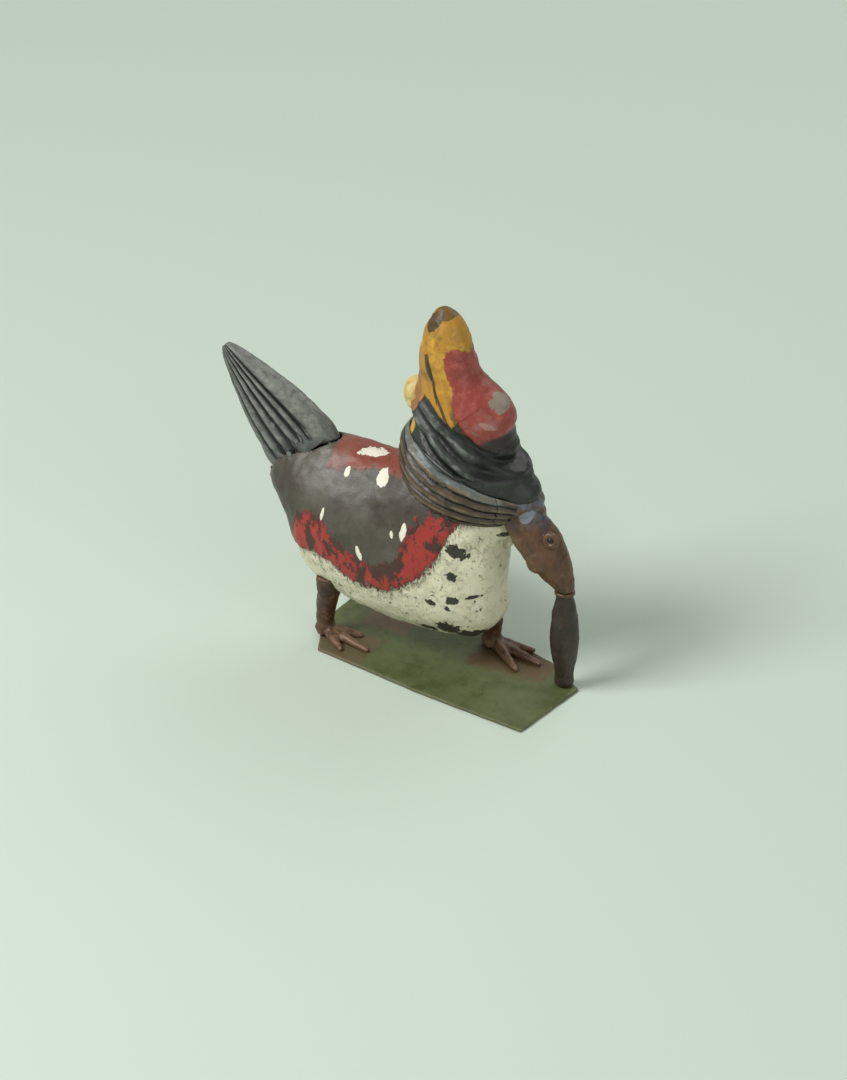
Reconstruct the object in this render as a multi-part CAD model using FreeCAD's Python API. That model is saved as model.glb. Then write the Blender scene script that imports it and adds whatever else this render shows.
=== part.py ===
import FreeCAD, Part

import math
import os

from FreeCAD import Matrix, Vector

# A clockwork pecking bird on a thin green plate. Millimetres, +X towards the bill,
# +Y the bird's left, +Z up, origin under the middle of the base plate.

# ---- driving dimensions -------------------------------------------------------
WALL = 1.0                      # thickness of the pressed shells
FIT = 0.04                      # radial clearance of a running fit
GAP = 0.45                      # clearance between shells that move past each other

BASE_THICK = 1.0
BASE_OUTLINE = [(-35, -16), (36, -27), (40, 0), (27, 9), (4, 16), (-10, 18), (-30, 19), (-40, 12), (-41, -3)]
BASE_FRONT_BOW = 1.2            # how far the long near edge bows outwards
LEG_FEET = [(-36.5, -7.5), (8.0, 9.0)]          # x and y of the right and left foot
LEG_TOPS = [(-35.5, -8.0), (6.5, 8.6)]          # where the legs meet the belly
LEG_LEVELS = [                                  # share of the lean, height, radius
    (0.0, 0.0, 2.7), (0.1, 1.2, 2.5), (0.3, 5.0, 2.1), (0.7, 12.0, 2.6), (1.0, 20.0, 3.2),
]
TOES = [(-12, 12.5), (-38, 9.5), (24, 11.0), (180, 4.5)]     # direction and length
TOE_R, TOE_TIP_R = 1.6, 0.75

# body egg: x, height of the centre, half height, half width
BODY_STATIONS = [
    (-57.0, 44.0, 4.0, 3.0), (-54.0, 44.0, 11.0, 7.0), (-48.0, 42.5, 19.0, 11.5),
    (-40.0, 40.5, 24.5, 14.5), (-30.0, 38.5, 26.5, 16.0), (-18.0, 37.0, 27.5, 16.5),
    (-6.0, 36.5, 27.5, 16.0), (5.0, 36.5, 26.5, 14.5), (13.0, 37.5, 22.0, 11.5),
    (18.0, 39.0, 15.0, 8.0), (20.5, 40.0, 5.0, 3.0),
]

NECK_X, NECK_Z = 4.5, 66.0      # axis that the neck nods about, along Y
NECK_R, NECK_W = 19.2, 14.5     # radius and half width of the neck bulb
NECK_TRAVEL = 9.0               # degrees of nod
COLLAR_FRONT_GAP = 10.0         # half width of the collar's opening for the head
HEM_BACK = (-13.0, 75.0)        # the plane of the collar's upper hem, in x and z
HEM_FRONT = (29.0, 57.0)
RIM_BACK = (-17.5, 60.0)        # the plane of its lower rim
RIM_FRONT = (24.0, 50.0)

# crest: height, x of the centre, half length, half width
CREST_STATIONS = [
    (66.0, 4.2, 17.6, 12.6), (74.0, 3.4, 17.4, 12.3), (80.0, 3.8, 16.6, 11.3),
    (87.0, 4.0, 14.4, 10.0), (93.0, 0.5, 10.6, 8.2), (98.0, -1.2, 9.1, 7.2),
    (104.0, -1.6, 7.4, 6.0), (109.0, -2.0, 5.2, 4.4), (112.6, -2.5, 2.3, 2.0),
]
KNOB_X, KNOB_Z, KNOB_R = -12.6, 83.4, 4.2
PANEL_X, PANEL_Y, PANEL_Z = 12.0, 6.0, 85.5     # middle of each red panel
PANEL_R, PANEL_RISE = 11.0, 0.5                 # its radius and how far it stands off the hood

# head: x and z of the centre, half depth, half width, turn of the section in degrees
HEAD_STATIONS = [
    (18.5, 55.0, 8.0, 7.4, -40), (23.0, 50.0, 9.4, 8.2, -44), (27.5, 44.4, 8.6, 7.6, -50),
    (31.0, 39.6, 6.2, 5.6, -56), (34.0, 35.2, 3.8, 3.7, -66), (35.3, 32.6, 2.6, 2.6, -90),
]
EYE_X, EYE_Z, EYE_R = 32.2, 48.4, 1.8
EYE_IN, EYE_OUT = 2.5, 6.2      # the eye studs' inner and outer ends, from the middle

BILL_X = 35.3
BILL_TIP_Z = 1.3
BILL_PROFILE = [
    (2.2, BILL_TIP_Z), (2.6, 3.0), (3.0, 7.0), (3.8, 12.0), (4.0, 18.0), (3.7, 23.0),
    (3.1, 27.5), (2.4, 31.2),
]
RING_Z, RING_R, RING_THICK = 31.9, 2.9, 1.3

TAIL_X, TAIL_Z = -48.6, 56.4    # axis that the tail bobs about, along Y
TAIL_ANGLE = 134.0              # direction of the tail, from +X towards +Z
TAIL_R, TAIL_W = 13.5, 6.4
TAIL_TRAVEL = 5.0
# tail: distance along it, half depth, half width
TAIL_STATIONS = [
    (3.0, 11.8, 5.2), (12.0, 10.4, 5.4), (20.0, 7.6, 4.6), (28.0, 4.4, 3.2), (33.0, 2.3, 2.0),
    (34.6, 0.9, 0.8),
]

# clockwork: arbor centres in x and z
FIRST = (-31.0, 38.0)
GREAT_TEETH, SECOND_TEETH, THIRD_TEETH, PINION_TEETH = 45, 40, 36, 12
GREAT_MODULE, FINE_MODULE = 0.5, 0.4
SECOND_ANGLE, THIRD_ANGLE, FLY_ANGLE = -20.0, 100.0, -20.0
PLATE_Y, PLATE_THICK = 7.0, 1.0
PLATE_OUTLINE = [(-43, 30), (-43, 46), (-38, 52), (-15, 52), (-4, 47), (-4, 24), (-10, 22), (-36, 22)]
PILLARS = [(-36.0, 50.3), (-40.0, 27.5), (-6.5, 45.5), (-11.5, 24.6)]
PILLAR_R = 1.2
PIVOT_R = 0.8                   # ends of the arbors
CRANK_R = 2.6
CAM_R, CAM_THROW = 2.6, 1.0
LEVER_THICK = 0.9
SPRING_TURNS, SPRING_IN, SPRING_OUT = 5, 2.8, 8.0    # turns, first and last radius
SPRING_Y, SPRING_WIDTH, SPRING_THICK = 3.5, 2.8, 0.4
KEY_WING_R, KEY_WING_OUT, KEY_HOLE_R = 4.6, 6.0, 2.2
KEY_SLEEVE_R, KEY_INNER_Y, KEY_OUTER_Y = 2.4, 17.2, 25.0
FAN_R, FAN_HUB_R, FAN_Y, FAN_END_Y = 4.9, 1.6, 3.5, 6.3
FIRST_ARBOR_R = 1.5
STOP_X, STOP_Z = -6.0, 29.5
STOP_TRAVEL = 10.0

NECK_LEVER_Y = 9.25
TAIL_LEVER_Y = 2.3
FAR = 200.0
SEAM_TURN = 180.0             # where the balls of the neck and tail have their seam


# ---- small helpers --------------------------------------------------------------
def along(centre, distance, degrees):
    """The point at this distance and direction from a centre, in x and z."""
    turn = math.radians(degrees)
    return (centre[0] + distance * math.cos(turn), centre[1] + distance * math.sin(turn))


def rod(x, z, radius, y0, y1):
    """A round rod along Y."""
    return Part.makeCylinder(radius, y1 - y0, Vector(x, y0, z), Vector(0, 1, 0))


def plate(points, y0, y1):
    """A flat plate in the XZ plane with this outline."""
    ring = [Vector(x, y0, z) for x, z in points]
    face = Part.Face(Part.makePolygon(ring + ring[:1]))
    return face.extrude(Vector(0, y1 - y0, 0))


def bar(start, end, width, y0, y1):
    """A flat bar with round ends between two points in x and z."""
    dx, dz = end[0] - start[0], end[1] - start[1]
    length = math.hypot(dx, dz)
    nx, nz = -dz / length * width / 2, dx / length * width / 2
    corners = [
        (start[0] + nx, start[1] + nz), (end[0] + nx, end[1] + nz),
        (end[0] - nx, end[1] - nz), (start[0] - nx, start[1] - nz),
    ]
    body = plate(corners, y0, y1)
    return body.fuse([rod(*start, width / 2, y0, y1), rod(*end, width / 2, y0, y1)]).removeSplitter()


def oval(centre, long_axis, half_long, half_wide):
    """A closed oval wire: half_long along long_axis and half_wide along Y."""
    points = []
    for step in range(16):
        turn = 2 * math.pi * step / 16
        aside = Vector(0, half_wide * math.sin(turn), 0)
        points.append(centre + long_axis * (half_long * math.cos(turn)) + aside)
    curve = Part.BSplineCurve()
    curve.interpolate(Points=points, PeriodicFlag=True)
    return Part.Wire([curve.toShape()])


def loft(wires):
    return Part.makeLoft(wires, True, False)


def spheroid(x, z, radius, half_width):
    """A flattened ball with a round section in XZ, axis along Y."""
    stretch = Matrix()
    stretch.scale(Vector(radius, half_width, radius))
    ball = Part.makeSphere(1.0, Vector(0, 0, 0), Vector(0, 1, 0))
    ball.rotate(Vector(0, 0, 0), Vector(0, 1, 0), SEAM_TURN)
    ball = ball.transformGeometry(stretch)
    ball.translate(Vector(x, 0, z))
    return ball


def side(shape, sign):
    """The part of a shape on the bird's right (-1) or left (+1) of the middle."""
    y0 = -FAR if sign < 0 else 0
    return one(shape.common(Part.makeBox(2 * FAR, FAR, 2 * FAR, Vector(-FAR, y0, -FAR))))


def below(start, end, turn=0.0):
    """A half space under the plane through two points in x and z, turned about the neck axis."""
    block = Part.makeBox(2 * FAR, 2 * FAR, FAR, Vector(-FAR, -FAR, -FAR))
    slope = math.degrees(math.atan2(end[1] - start[1], end[0] - start[0]))
    block.rotate(Vector(0, 0, 0), Vector(0, -1, 0), slope)
    block.translate(Vector(start[0], 0, start[1]))
    block.rotate(Vector(NECK_X, 0, NECK_Z), Vector(0, -1, 0), turn)
    return block


def one(shape):
    """The largest solid of a result, without offcuts."""
    return max(shape.Solids, key=lambda solid: solid.Volume)


def group(shapes):
    return Part.makeCompound(shapes)


def save(name, shape):
    shape.exportStep("parts/" + name + ".step")
    solids = shape.Solids
    print(name, len(solids), "solids", round(sum(s.Volume for s in solids), 2), "valid", shape.isValid())


# ---- toothed wheels -------------------------------------------------------------
PRESSURE = math.radians(25)
TOOTH_SLACK = 0.07              # each tooth is this much thinner than half the pitch


def tooth_half_angle(teeth, module, radius):
    pitch_r = teeth * module / 2
    base_r = pitch_r * math.cos(PRESSURE)
    slope = math.acos(min(1.0, base_r / radius))
    lean = (math.tan(PRESSURE) - PRESSURE) - (math.tan(slope) - slope)
    return math.pi / (2 * teeth) - TOOTH_SLACK / (2 * pitch_r) + lean


def gear(centre, teeth, module, tooth_at, y0, y1, bore):
    """A spur gear with a tooth centred at the angle tooth_at."""
    pitch_r = teeth * module / 2
    root_r, tip_r = pitch_r - 1.2 * module, pitch_r + 0.95 * module
    start_r = max(root_r + 0.05 * module, pitch_r * math.cos(PRESSURE))
    radii = [start_r + (tip_r - start_r) * step / 3 for step in range(4)]
    flank = [(root_r, tooth_half_angle(teeth, module, start_r))]
    flank += [(r, tooth_half_angle(teeth, module, r)) for r in radii]
    points = []
    for tooth in range(teeth):
        middle = math.radians(tooth_at) + 2 * math.pi * tooth / teeth
        ring = [(r, middle - half) for r, half in flank] + [(r, middle + half) for r, half in reversed(flank)]
        points += [(centre[0] + r * math.cos(a), centre[1] + r * math.sin(a)) for r, a in ring]
    return plate(points, y0, y1).cut(rod(*centre, bore, y0 - 1, y1 + 1))


def crossed(wheel, centre, ring_r, hole_r, holes, y0, y1):
    """Round lightening holes through a wheel."""
    places = [along(centre, ring_r, 360 * k / holes + 20) for k in range(holes)]
    return wheel.cut([rod(*place, hole_r, y0 - 1, y1 + 1) for place in places])


SECOND = along(FIRST, (GREAT_TEETH + PINION_TEETH) * GREAT_MODULE / 2, SECOND_ANGLE)
THIRD = along(SECOND, (SECOND_TEETH + PINION_TEETH) * FINE_MODULE / 2, THIRD_ANGLE)
FLY = along(THIRD, (THIRD_TEETH + PINION_TEETH) * FINE_MODULE / 2, FLY_ANGLE)
HALF_PINION = 180 / PINION_TEETH


def arbor(centre, radius, y0, y1, tip0, tip1):
    """A shaft with a shoulder between the plates and thinner ends through them."""
    inner = PLATE_Y - 0.15
    shaft = rod(*centre, radius, max(y0, -inner), min(y1, inner))
    ends = [rod(*centre, PIVOT_R, tip0, -inner), rod(*centre, PIVOT_R, inner, tip1)]
    return shaft.fuse(ends).removeSplitter()


# ---- shells ----------------------------------------------------------------------
def body_loft(grow):
    """The egg of the body, grown outwards or inwards."""
    wires = []
    for x, z, tall, wide in BODY_STATIONS:
        if tall + grow > 1.5 and wide + grow > 1.5:
            wires.append(oval(Vector(x, 0, z), Vector(0, 0, 1), tall + grow, wide + grow))
    return loft(wires)


def body_shells():
    outer = body_loft(0)
    hollow = body_loft(-WALL)
    shell = outer.cut(hollow)
    shell = shell.cut(spheroid(NECK_X, NECK_Z, NECK_R + 2.3, NECK_W + 2.3))
    shell = shell.cut(spheroid(TAIL_X, TAIL_Z, TAIL_R + GAP, TAIL_W + GAP))
    shell = shell.cut(rod(TAIL_X, TAIL_Z, 0.9, -7.3, 7.3))
    right = side(shell, -1)
    left = side(shell, 1).cut(rod(*FIRST, 2.6, 5, 30))
    left = one(left.cut(Part.makeBox(10, 2.0, 12, Vector(-10.5, 8.0, 8))))
    return right, left, hollow


def neck_shells(lever):
    bulb = spheroid(NECK_X, NECK_Z, NECK_R, NECK_W)
    bulb = bulb.cut(spheroid(NECK_X, NECK_Z, NECK_R - WALL, NECK_W - WALL))
    bulb = bulb.cut(Part.makeBox(2 * FAR, 2 * FAR, FAR, Vector(-FAR, -FAR, 52.5 - FAR)))
    bulb = bulb.cut(rod(NECK_X, NECK_Z, 1.0 + FIT, -20, 20)).cut(lever)
    return side(bulb, -1), side(bulb, 1)


def collar_shell(inner_r, outer_r, low, high):
    """One band of the collar between two slanting planes, open at the front for the head."""
    width = NECK_W - NECK_R
    slab = spheroid(NECK_X, NECK_Z, outer_r, outer_r + width).common(below(*high)).cut(below(*low))
    return slab.cut(spheroid(NECK_X, NECK_Z, inner_r, inner_r + width))


def front_notch(half_width):
    return Part.makeBox(FAR, 2 * half_width, 2 * FAR, Vector(NECK_X, -half_width, -FAR))


def between(share):
    """The slanting plane a share of the way from the rim up to the hem."""
    back = tuple(a + (b - a) * share for a, b in zip(RIM_BACK, HEM_BACK))
    front = tuple(a + (b - a) * share for a, b in zip(RIM_FRONT, HEM_FRONT))
    return back, front


def collar():
    pieces = {}
    pin_hole = rod(NECK_X, NECK_Z, 1.0, -20, 20)
    yoke = collar_shell(NECK_R + GAP, NECK_R + 1.2, between(0), between(0.98))
    pieces["collar_yoke"] = one(yoke.cut(front_notch(COLLAR_FRONT_GAP)).cut(pin_hole))
    limits = {
        "collar_lower_band": (0.02, 0.34), "collar_middle_band": (0.36, 0.66), "collar_hem_band": (0.68, 1.0),
    }
    for index, (name, (low, high)) in enumerate(limits.items()):
        band = collar_shell(NECK_R + 1.2, NECK_R + 2.2 - 0.35 * index, between(low), between(high))
        pieces[name] = one(band.cut(front_notch(COLLAR_FRONT_GAP)).cut(pin_hole))
    return pieces


def throat_bands():
    """The short lengths of the three bands that cross the front and ride with the head."""
    bands = []
    for low, high in ((0.36, 0.66), (0.68, 1.0)):
        band = collar_shell(NECK_R, NECK_R + 1.5, between(low), between(high))
        bands.append(one(band.common(front_notch(COLLAR_FRONT_GAP - GAP))))
    return bands


def clear_of_collar(shape):
    """A shape without what lies below the collar's hem at either end of the nod."""
    for turn in (0, -NECK_TRAVEL - 0.8):
        shape = shape.cut(below(*between(1.03), turn=turn))
    return shape


def crest():
    """The hood on top of the neck in two halves, with its red panel and the knob at the nape."""
    def hood_loft(grow, stations):
        rings = []
        for z, x, deep, wide in stations:
            rings.append(oval(Vector(x, 0, z), Vector(1, 0, 0), deep + grow, wide + grow))
        return loft(rings)
    outer = hood_loft(0, CREST_STATIONS)
    inner = hood_loft(-WALL, CREST_STATIONS[:-1])
    bulb = spheroid(NECK_X, NECK_Z, NECK_R, NECK_W)
    knob_ball = Part.makeSphere(KNOB_R, Vector(KNOB_X, 0, KNOB_Z))
    knob = one(clear_of_collar(knob_ball.cut(outer).cut(bulb)))
    hood = clear_of_collar(outer.cut(bulb)).cut(inner)
    skin = hood_loft(PANEL_RISE, CREST_STATIONS)
    panels = []
    for sign in (-1, 1):
        patch = Part.makeSphere(PANEL_R, Vector(PANEL_X, sign * PANEL_Y, PANEL_Z)).common(skin)
        patch = clear_of_collar(patch.cut(outer).cut(bulb))
        panels.append(side(patch.cut(Part.makeBox(FAR, 1, FAR, Vector(-FAR / 2, -0.5, 0))), sign))
    return side(hood, -1), side(hood, 1), group(panels), knob


def head():
    """The head in two halves, hollow, hanging in front of the breast."""
    def tube(grow, stations):
        wires = []
        for x, z, deep, wide, turn in stations:
            axis = Vector(-math.sin(math.radians(turn)), 0, math.cos(math.radians(turn)))
            wires.append(oval(Vector(x, 0, z), axis, deep + grow, wide + grow))
        return loft(wires)
    outer = tube(0, HEAD_STATIONS)
    inner = tube(-WALL, HEAD_STATIONS[:-1])
    def trimmed(shape, grow):
        neck = spheroid(NECK_X, NECK_Z, NECK_R + 1.5 + grow, NECK_W + 1.5 + grow)
        return shape.cut(neck).cut(body_loft(GAP + 0.2 + grow))
    hollow = one(trimmed(inner, WALL))
    skull = one(trimmed(outer, 0)).cut(hollow)
    eyes = []
    for sign in (-1, 1):
        y0, y1 = sorted((sign * EYE_IN, sign * EYE_OUT))
        stud = rod(EYE_X, EYE_Z, EYE_R, y0, y1)
        skull = skull.cut(stud)
        flat_rings = [edge for edge in stud.Edges if edge.BoundBox.YLength < 0.01]
        outer_rim = [edge for edge in flat_rings if abs(edge.BoundBox.YMin - sign * EYE_OUT) < 0.01]
        eyes.append(one(stud.makeFillet(0.8, outer_rim).cut(hollow)))
    skull = skull.cut(Part.makeCylinder(RING_R, 10, Vector(BILL_X, 0, RING_Z + RING_THICK / 2 - 10)))
    return side(skull, -1), side(skull, 1), group(eyes)


def bill():
    """The long dark bill, turned about its own upright axis, and the ring above it."""
    wall = [Vector(r, 0, z) for r, z in BILL_PROFILE]
    curve = Part.BSplineCurve()
    curve.interpolate(wall)
    foot, top = Vector(0, 0, wall[0].z), Vector(0, 0, wall[-1].z)
    edges = [
        Part.makeLine(foot, wall[0]), curve.toShape(), Part.makeLine(wall[-1], top), Part.makeLine(top, foot),
    ]
    solid = Part.Face(Part.Wire(edges)).revolve(Vector(0, 0, 0), Vector(0, 0, 1), 360)
    solid.translate(Vector(BILL_X, 0, 0))
    ring = Part.makeCylinder(RING_R, RING_THICK, Vector(BILL_X, 0, BILL_PROFILE[-1][1]))
    rim = ring.makeFillet(0.5, [edge for edge in ring.Edges if len(edge.Vertexes) == 1])
    return solid, rim


def tail():
    """The cocked tail in two halves: a half drum at the root and a tapering vane."""
    turn = math.radians(TAIL_ANGLE)
    out = Vector(math.cos(turn), 0, math.sin(turn))
    across = Vector(-math.sin(turn), 0, math.cos(turn))
    root = Vector(TAIL_X, 0, TAIL_Z)
    def vane(grow, stations):
        return loft([oval(root + out * s, across, deep + grow, wide + grow) for s, deep, wide in stations])
    outer = vane(0, TAIL_STATIONS).fuse(spheroid(TAIL_X, TAIL_Z, TAIL_R, TAIL_W))
    inner = vane(-WALL, TAIL_STATIONS[:-2]).fuse(spheroid(TAIL_X, TAIL_Z, TAIL_R - WALL, TAIL_W - WALL))
    shell = outer.cut(inner)
    block = Part.makeBox(FAR, FAR, FAR, Vector(-FAR / 2, -FAR / 2, -FAR - 4.0))
    block.rotate(Vector(0, 0, 0), Vector(0, -1, 0), TAIL_ANGLE - 90)
    block.translate(root)
    shell = shell.cut(block).cut(rod(TAIL_X, TAIL_Z, 0.8 + FIT, -10, 10))
    return side(shell, -1), side(shell, 1)


# ---- base and legs -----------------------------------------------------------------
def base_plate():
    near_a, near_b = BASE_OUTLINE[0], BASE_OUTLINE[1]
    middle_x, middle_y = (near_a[0] + near_b[0]) / 2, (near_a[1] + near_b[1]) / 2
    middle = (middle_x - 0.15 * BASE_FRONT_BOW, middle_y - BASE_FRONT_BOW)
    front = Part.Arc(Vector(*near_a, 0), Vector(*middle, 0), Vector(*near_b, 0)).toShape()
    rest = BASE_OUTLINE[1:] + BASE_OUTLINE[:1]
    edges = [front] + [Part.makeLine(Vector(*a, 0), Vector(*b, 0)) for a, b in zip(rest, rest[1:])]
    slab = Part.Face(Part.Wire(edges)).extrude(Vector(0, 0, BASE_THICK))
    for x, y in LEG_FEET:
        slab = slab.cut(Part.makeCylinder(1.0, 4, Vector(x, y, -1)))
    return slab


def leg(foot, top):
    """A leg from the foot up to the belly, with three toes forward and a spur behind."""
    rings = []
    for share, rise, radius in LEG_LEVELS:
        x = foot[0] + (top[0] - foot[0]) * share
        y = foot[1] + (top[1] - foot[1]) * share
        rings.append(oval(Vector(x, y, BASE_THICK + rise), Vector(1, 0, 0), radius, radius))
    whole = loft(rings).cut(body_loft(0))
    for turn, length in TOES:
        toe = Part.makeCone(TOE_R, TOE_TIP_R, length, Vector(0, 0, TOE_R), Vector(1, 0, 0))
        toe.rotate(Vector(0, 0, 0), Vector(0, 1, 0), math.degrees(math.atan2(TOE_TIP_R, length)))
        toe.rotate(Vector(0, 0, 0), Vector(0, 0, 1), turn)
        toe.translate(Vector(foot[0], foot[1], BASE_THICK + 0.05))
        whole = whole.fuse(toe)
    return one(whole.cut(Part.makeCylinder(1.0, 3.0, Vector(foot[0], foot[1], 0))))


# ---- clockwork ---------------------------------------------------------------------
def frame():
    pieces = {}
    holes = [rod(*centre, PIVOT_R + FIT, -20, 20) for centre in (SECOND, THIRD, FLY)]
    first_hole = rod(*FIRST, 1.5 + FIT, -20, 20)
    for name, sign in (("frame_plate_right", -1), ("frame_plate_left", 1)):
        y0 = PLATE_Y if sign > 0 else -PLATE_Y - PLATE_THICK
        blank = plate(PLATE_OUTLINE, y0, y0 + PLATE_THICK).cut(holes + [first_hole])
        blank = blank.cut([rod(x, z, 0.6, -20, 20) for x, z in PILLARS])
        if sign > 0:
            blank = blank.cut(rod(STOP_X, STOP_Z, 0.7, -20, 20))
        pieces[name] = blank
    pillars = [rod(x, z, PILLAR_R, -PLATE_Y, PLATE_Y).cut(rod(x, z, 0.6, -20, 20)) for x, z in PILLARS]
    pieces["frame_pillars"] = group(pillars)
    return pieces


def pillar_screws():
    screws = []
    for x, z in PILLARS:
        for sign in (-1, 1):
            y0, y1 = sorted((sign * 4.0, sign * (PLATE_Y + PLATE_THICK)))
            h0, h1 = sorted((sign * (PLATE_Y + PLATE_THICK), sign * (PLATE_Y + PLATE_THICK + 0.8)))
            slot_y = h1 - 0.4 if sign > 0 else h0
            slotted = rod(x, z, 1.15, h0, h1).cut(Part.makeBox(3, 0.4, 0.4, Vector(x - 1.5, slot_y, z - 0.2)))
            screws.append(rod(x, z, 0.6, y0, y1).fuse(slotted).removeSplitter())
    return group(screws)


def frame_stays(hollow):
    """Spacers that carry the frame in the body, from the plates out to the shells."""
    stays = []
    for x, z in (PILLARS[0], PILLARS[1], PILLARS[3]):
        for sign in (-1, 1):
            y0, y1 = sorted((sign * (PLATE_Y + PLATE_THICK), sign * 20))
            tube = rod(x, z, 2.2, y0, y1).cut(rod(x, z, 1.2, -FAR, FAR))
            stays.append(one(tube.common(hollow)))
    return group(stays)


def mainspring():
    """The mainspring: a strip along an even spiral about the first arbor."""
    def curve(grow):
        points = []
        steps = 16 * SPRING_TURNS
        for step in range(steps + 1):
            radius = SPRING_IN + (SPRING_OUT - SPRING_IN) * step / steps + grow
            x, z = along(FIRST, radius, 22.5 * step)
            points.append(Vector(x, SPRING_Y, z))
        line = Part.BSplineCurve()
        line.interpolate(points)
        return line.toShape()
    low, high = curve(0), curve(SPRING_THICK)
    inner_end = Part.makeLine(low.Vertexes[0].Point, high.Vertexes[0].Point)
    outer_end = Part.makeLine(low.Vertexes[-1].Point, high.Vertexes[-1].Point)
    face = Part.Face(Part.Wire(Part.__sortEdges__([low, outer_end, high, inner_end])))
    return face.extrude(Vector(0, SPRING_WIDTH, 0))


RATCHET_TEETH, RATCHET_TIP, RATCHET_ROOT = 12, 4.5, 3.6
CLICK_AT = 60.0                 # the tooth face that the click bears on
CLICK_PIVOT = along(FIRST, 7.8, CLICK_AT - 55)


def ratchet_wheel():
    points = []
    for tooth in range(RATCHET_TEETH):
        face_angle = CLICK_AT + 360 * tooth / RATCHET_TEETH
        points.append(along(FIRST, RATCHET_ROOT, face_angle))
        points.append(along(FIRST, RATCHET_TIP, face_angle))
    return plate(points, -4.6, -3.4).cut(rod(*FIRST, 1.5, -10, 0))


def click():
    """The pawl that bears on a ratchet tooth."""
    corners = [
        along(FIRST, 3.95, CLICK_AT - 1.5), along(FIRST, 4.8, CLICK_AT - 1.3),
        along(FIRST, 6.9, CLICK_AT - 22), along(CLICK_PIVOT, 1.2, CLICK_AT - 15),
        along(CLICK_PIVOT, 1.2, CLICK_AT + 165),
        along(FIRST, 5.05, CLICK_AT - 32),
    ]
    pawl = plate(corners, -4.5, -3.6).fuse(rod(*CLICK_PIVOT, 1.3, -4.5, -3.6)).removeSplitter()
    return pawl.cut(rod(*CLICK_PIVOT, 0.6 + FIT, -10, 0))


def winding_key():
    """A butterfly key on the square end of the first arbor, at the bird's left."""
    sleeve = rod(*FIRST, KEY_SLEEVE_R, KEY_INNER_Y, KEY_OUTER_Y)
    wings = []
    for sign in (-1, 1):
        wing = rod(FIRST[0] + sign * KEY_WING_OUT, FIRST[1], KEY_WING_R, 22.6, 23.8)
        wings.append(wing.cut(rod(FIRST[0] + sign * (KEY_WING_OUT + 0.6), FIRST[1], KEY_HOLE_R, 20, 26)))
    return one(sleeve.fuse(wings).cut(rod(*FIRST, FIRST_ARBOR_R, 15, 23.0)))


def train():
    """The going train: three wheels, three pinions and the fly."""
    pieces = {}
    great = gear(FIRST, GREAT_TEETH, GREAT_MODULE, SECOND_ANGLE, -6.2, -4.8, 1.5)
    pieces["great_wheel"] = crossed(great, FIRST, 7.9, 1.7, 6, -6.2, -4.8).cut(rod(*CLICK_PIVOT, 0.6, -10, 0))
    mesh_at = SECOND_ANGLE + 180 + HALF_PINION
    pieces["second_pinion"] = gear(SECOND, PINION_TEETH, GREAT_MODULE, mesh_at, -6.5, -4.5, 1.0)
    second = gear(SECOND, SECOND_TEETH, FINE_MODULE, THIRD_ANGLE, -2.2, -1.0, 1.0)
    pieces["second_wheel"] = crossed(second, SECOND, 4.6, 1.5, 5, -2.2, -1.0)
    mesh_at = THIRD_ANGLE + 180 + HALF_PINION
    pieces["third_pinion"] = gear(THIRD, PINION_TEETH, FINE_MODULE, mesh_at, -2.6, -0.6, 0.9)
    third = gear(THIRD, THIRD_TEETH, FINE_MODULE, FLY_ANGLE, 0.4, 1.6, 0.9)
    pieces["third_wheel"] = crossed(third, THIRD, 4.1, 1.3, 5, 0.4, 1.6)
    pieces["fly_pinion"] = gear(FLY, PINION_TEETH, FINE_MODULE, FLY_ANGLE + 180 + HALF_PINION, -0.1, 2.1, 0.9)
    return pieces


def arbors():
    pieces = {}
    pieces["spring_arbor"] = rod(*FIRST, FIRST_ARBOR_R, -8.6, 22.9)
    pieces["second_arbor"] = arbor(SECOND, 1.0, -7, 7, -8.6, 8.6)
    pieces["third_arbor"] = arbor(THIRD, 0.9, -7, 7, -8.6, 9.0)
    pieces["fly_arbor"] = arbor(FLY, 0.9, -7, 7, -8.6, 9.2)
    return pieces


def crank():
    disc = rod(*THIRD, 3.6, 8.2, 9.0).cut(rod(*THIRD, PIVOT_R, 0, 20))
    pin_at = along(THIRD, CRANK_R, 40)
    disc = disc.cut(rod(*pin_at, 0.5, 0, 20))
    return disc, rod(*pin_at, 0.5, 8.2, 10.6)


def fly_fan():
    hub = rod(*FLY, FAN_HUB_R, FAN_Y, FAN_END_Y)
    vane = Part.makeBox(2 * FAN_R, FAN_END_Y - FAN_Y, 0.4, Vector(FLY[0] - FAN_R, FAN_Y, FLY[1] - 0.2))
    return hub.fuse(vane).cut(rod(*FLY, 0.9, 0, 10)).removeSplitter()


def neck_lever():
    """An arm from the neck axis to a loop round the crank pin."""
    y0, y1 = NECK_LEVER_Y, NECK_LEVER_Y + LEVER_THICK
    pivot = (NECK_X, NECK_Z)
    length = math.hypot(THIRD[0] - NECK_X, THIRD[1] - NECK_Z)
    heading = math.degrees(math.atan2(THIRD[1] - NECK_Z, THIRD[0] - NECK_X))
    reach = CRANK_R + 0.5 + 0.4
    swing = length * math.sin(math.radians(NECK_TRAVEL))
    rim = 1.4
    def frame_box(grow):
        along_0, along_1 = length - reach - grow, length + reach + 0.6 + grow
        side_0, side_1 = -reach - swing - grow, reach + grow
        corners = [(along_0, side_0), (along_1, side_0), (along_1, side_1), (along_0, side_1)]
        return plate([along(along(pivot, a, heading), s, heading + 90) for a, s in corners], y0, y1)
    arm = bar(pivot, along(pivot, length - reach - rim / 2, heading), 3.0, y0, y1)
    lever = arm.cut(frame_box(0)).fuse(frame_box(rim).cut(frame_box(0))).removeSplitter()
    return one(lever.cut(rod(*pivot, 1.0 + FIT, 0, 20)))


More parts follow.
